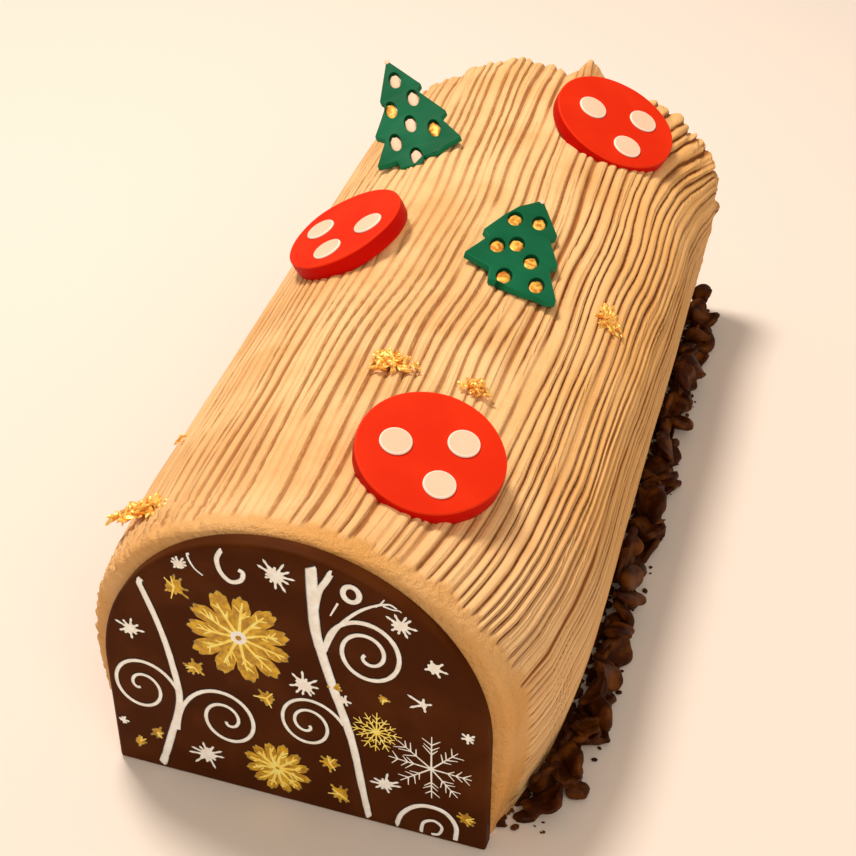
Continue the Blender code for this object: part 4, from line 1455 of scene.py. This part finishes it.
def shaving(made, length, width, curl, thick, where, key):
    """One curled strip with its two faces and its edges."""
    long_steps, wide_steps = 8, 6
    rings = ([], [])
    for i in range(long_steps + 1):
        t = i / long_steps * 2 - 1
        narrow = math.sqrt(max(1.0 - abs(t) ** 2.6 * 0.94, 0.03))
        rows = ([], [])
        for j in range(wide_steps + 1):
            s = (j / wide_steps - 0.5) * narrow
            wave = noise.noise(Vector((t * 1.9 + key, s * 2.7, key * 0.7)))
            angle = math.radians(curl) * s + wave * 0.30
            radius = width / math.radians(curl) * (1.0 + 0.22 * t + 0.30 * s)
            for row, off in zip(rows, (0.0, thick * (0.75 + 0.5 * wave))):
                far = radius + off
                spot = Vector((
                    length / 2 * t + wave * 0.5,
                    far * math.sin(angle),
                    far * (1.0 - math.cos(angle)) - off + wave * 0.6,
                ))
                row.append(made.verts.new(where @ (spot * MM)))
        rings[0].append(rows[0])
        rings[1].append(rows[1])
    upper, lower = rings
    for i in range(long_steps):
        for j in range(wide_steps):
            made.faces.new((upper[i][j], upper[i + 1][j], upper[i + 1][j + 1], upper[i][j + 1]))
            made.faces.new((lower[i][j], lower[i][j + 1], lower[i + 1][j + 1], lower[i + 1][j]))
        for j, way in ((0, 1), (wide_steps, -1)):
            loop = (upper[i][j], lower[i][j], lower[i + 1][j], upper[i + 1][j])
            made.faces.new(loop if way > 0 else tuple(reversed(loop)))
    for j in range(wide_steps):
        for i, way in ((0, -1), (long_steps, 1)):
            loop = (upper[i][j], lower[i][j], lower[i][j + 1], upper[i][j + 1])
            made.faces.new(loop if way > 0 else tuple(reversed(loop)))


def lay_shavings(name, side, count, seed, limit):
    rand = random.Random(seed)
    made = bmesh.new()
    for number in range(count):
        first = -108.0 if side > 0 else -94.0
        y = (first + (114.0 - first) * (number + rand.uniform(0.0, 1.0)) / count) * MM
        single = bmesh.new()
        turned = (
            Matrix.Rotation(math.radians(rand.uniform(40, 140)), 4, "Z")
            @ Matrix.Rotation(math.radians(rand.uniform(-25, 40)), 4, "Y")
            @ Matrix.Rotation(math.radians(rand.uniform(0, 360)), 4, "X")
        )
        shaving(
            single, rand.uniform(6.0, 11.5), rand.uniform(5.5, 9.0), rand.uniform(80, 190),
            rand.uniform(1.6, 3.2), turned, 3.7 * number + seed,
        )
        drop = min(v.co.z for v in single.verts)
        raised = rand.choice((0.0, 0.0, 0.0, 3.0, 5.5)) * MM
        for vert in single.verts:
            vert.co += Vector((0.0, y, raised - drop))
        reach = max(
            side_x(v.co.y, v.co.z) + side * middle_x(v.co.y) - side * v.co.x for v in single.verts
        )
        out = reach + rand.uniform(-0.6, 1.6) * MM
        widest = max(side * v.co.x for v in single.verts) + out
        out -= max(widest - limit, 0.0)
        for vert in single.verts:
            vert.co.x += side * out
        mesh = bpy.data.meshes.new("single")
        single.to_mesh(mesh)
        made.from_mesh(mesh)
        bpy.data.meshes.remove(mesh)
        single.free()
    item = add_piece(name, made, curl_chocolate)
    smooth = item.modifiers.new("soft edges", "SUBSURF")
    smooth.levels = 1
    smooth.render_levels = 1
    settle_shape(item)
    dress(item, "chocolate")
    return item


right_limit = box_before[1][0] - 0.4 * MM
left_limit = -box_before[0][0] - 0.4 * MM
lay_shavings("chocolate_shavings_right", 1, 52, 5, right_limit)
lay_shavings("chocolate_shavings_left", -1, 46, 17, left_limit)

# %% The tree that strews crumbs
CRUMB_SIZES = {"Count": 460, "From": -112.0 * MM, "To": 116.0 * MM, "Crumb": 1.1 * MM, "Side": 1.0, "Seed": 2}
crumb_bench, size = shape_tree("crumbs", CRUMB_SIZES)
crumb_y = chance(crumb_bench, size["Seed"], 0.0, 1.0) * (size["To"] - size["From"]) + size["From"]
crumb_shoulder = 1.0 - (1.0 - crumb_bench.clamp((crumb_y - LOG_FRONT) / SHOULDER)) ** 2.4
crumb_half = crumb_shoulder * (HALF_WIDTH - FRONT_HALF_WIDTH) + FRONT_HALF_WIDTH
crumb_middle = (1.0 - crumb_shoulder) * FRONT_SHIFT
# Most crumbs crowd at the tucked foot, under the overhang: partly real crumbs, partly a dark fill that stands in for
# the shadow there.
spill = chance(crumb_bench, size["Seed"] + 3, 0.0, 1.0) ** 2.6
crumb_x = (crumb_half * (1.0 - TUCK) + (spill * 10.5 + 0.6) * MM) * size["Side"] + crumb_middle
crumb_size = size["Crumb"] * chance(crumb_bench, size["Seed"] + 5, 0.35, 1.3) * (1.15 - spill * 0.6)
points = crumb_bench.node(
    "GeometryNodePoints",
    inputs={"Count": size["Count"], "Position": crumb_bench.vector(crumb_x, crumb_y, crumb_size * 0.6)},
)
crumb = crumb_bench.node("GeometryNodeMeshUVSphere", inputs={"Segments": 6, "Rings": 4, "Radius": 1.0})
crumb = crumb_bench.node("GeometryNodeTransform", inputs={"Geometry": crumb, "Scale": (1.3, 0.9, 0.6)})
strewn = crumb_bench.node(
    "GeometryNodeInstanceOnPoints",
    inputs={
        "Points": points, "Instance": crumb,
        "Rotation": crumb_bench.vector(
            0.0, 0.0, chance(crumb_bench, size["Seed"] + 9, 0.0, 6.3),
        ),
        "Scale": crumb_bench.vector(crumb_size, crumb_size, crumb_size),
    },
)
strewn = crumb_bench.node("GeometryNodeRealizeInstances", inputs={"Geometry": strewn})
here = crumb_bench.node("GeometryNodeInputPosition")
knock = (crumb_bench.noise(here, scale=1300.0) - 0.5) * (0.7 * MM)
strewn = crumb_bench.node(
    "GeometryNodeSetPosition",
    inputs={"Geometry": strewn, "Offset": crumb_bench.vector(knock, knock * -0.8, 0.0)},
)
finish_tree(crumb_bench, strewn, curl_chocolate)
for name, side, seed in (("right", 1.0, 2), ("left", -1.0, 31)):
    front_end = -112.0 if name == "right" else -92.0
    crumb_sizes = {**CRUMB_SIZES, "Side": side, "Seed": seed, "From": front_end * MM}
    dress(grow("chocolate_crumbs_and_foot_shade_" + name, crumb_bench, crumb_sizes), "chocolate")

# %% [markdown]
# ## The table, the light and the camera

# %% Floor
def pale_floor():
    made = bpy.data.meshes.new("floor")
    side = 3.0
    made.from_pydata(
        [(-side, -side, 0), (side, -side, 0), (side, side, 0), (-side, side, 0)], [], [(0, 1, 2, 3)],
    )
    item = bpy.data.objects.new("floor", made)
    bpy.context.scene.collection.objects.link(item)
    return item


floor = pale_floor()
paper, bench, shader, place = finish("pale_paper", roughness=0.75)
shader.inputs["Base Color"].default_value = (0.775, 0.665, 0.585, 1.0)
floor.data.materials.append(paper)

# %% Light
def soft_light(name, place, aim, width, power, colour):
    data = bpy.data.lights.new(name, "AREA")
    data.shape = "DISK"
    data.size = width
    data.energy = power
    data.color = colour
    item = bpy.data.objects.new(name, data)
    item.location = place
    item.rotation_euler = (Vector(aim) - Vector(place)).to_track_quat("-Z", "Y").to_euler()
    bpy.context.scene.collection.objects.link(item)
    return item


soft_light("key", (-0.30, 0.22, 0.92), (0.0, 0.0, 0.04), 0.24, 8.6, (1.0, 0.93, 0.84))
soft_light("fill", (0.40, -0.75, 0.75), (0.0, 0.0, 0.03), 0.8, 4.4, (1.0, 0.89, 0.75))
world = bpy.data.worlds.new("studio")
world.use_nodes = True
world.node_tree.nodes["Background"].inputs["Color"].default_value = (1.0, 0.93, 0.84, 1.0)
world.node_tree.nodes["Background"].inputs["Strength"].default_value = 0.42
bpy.context.scene.world = world
bpy.context.scene.view_settings.view_transform = "Standard"

# %% Camera
camera_data = bpy.data.cameras.new("camera")
camera_data.lens = 71.9
camera_data.sensor_width = 36.0
camera = bpy.data.objects.new("camera", camera_data)
camera.location = (0.0958, -0.3634, 0.3062)
camera.rotation_euler = (math.radians(90 - 36.96), 0.0, math.radians(15.48))
bpy.context.scene.collection.objects.link(camera)
bpy.context.scene.camera = camera
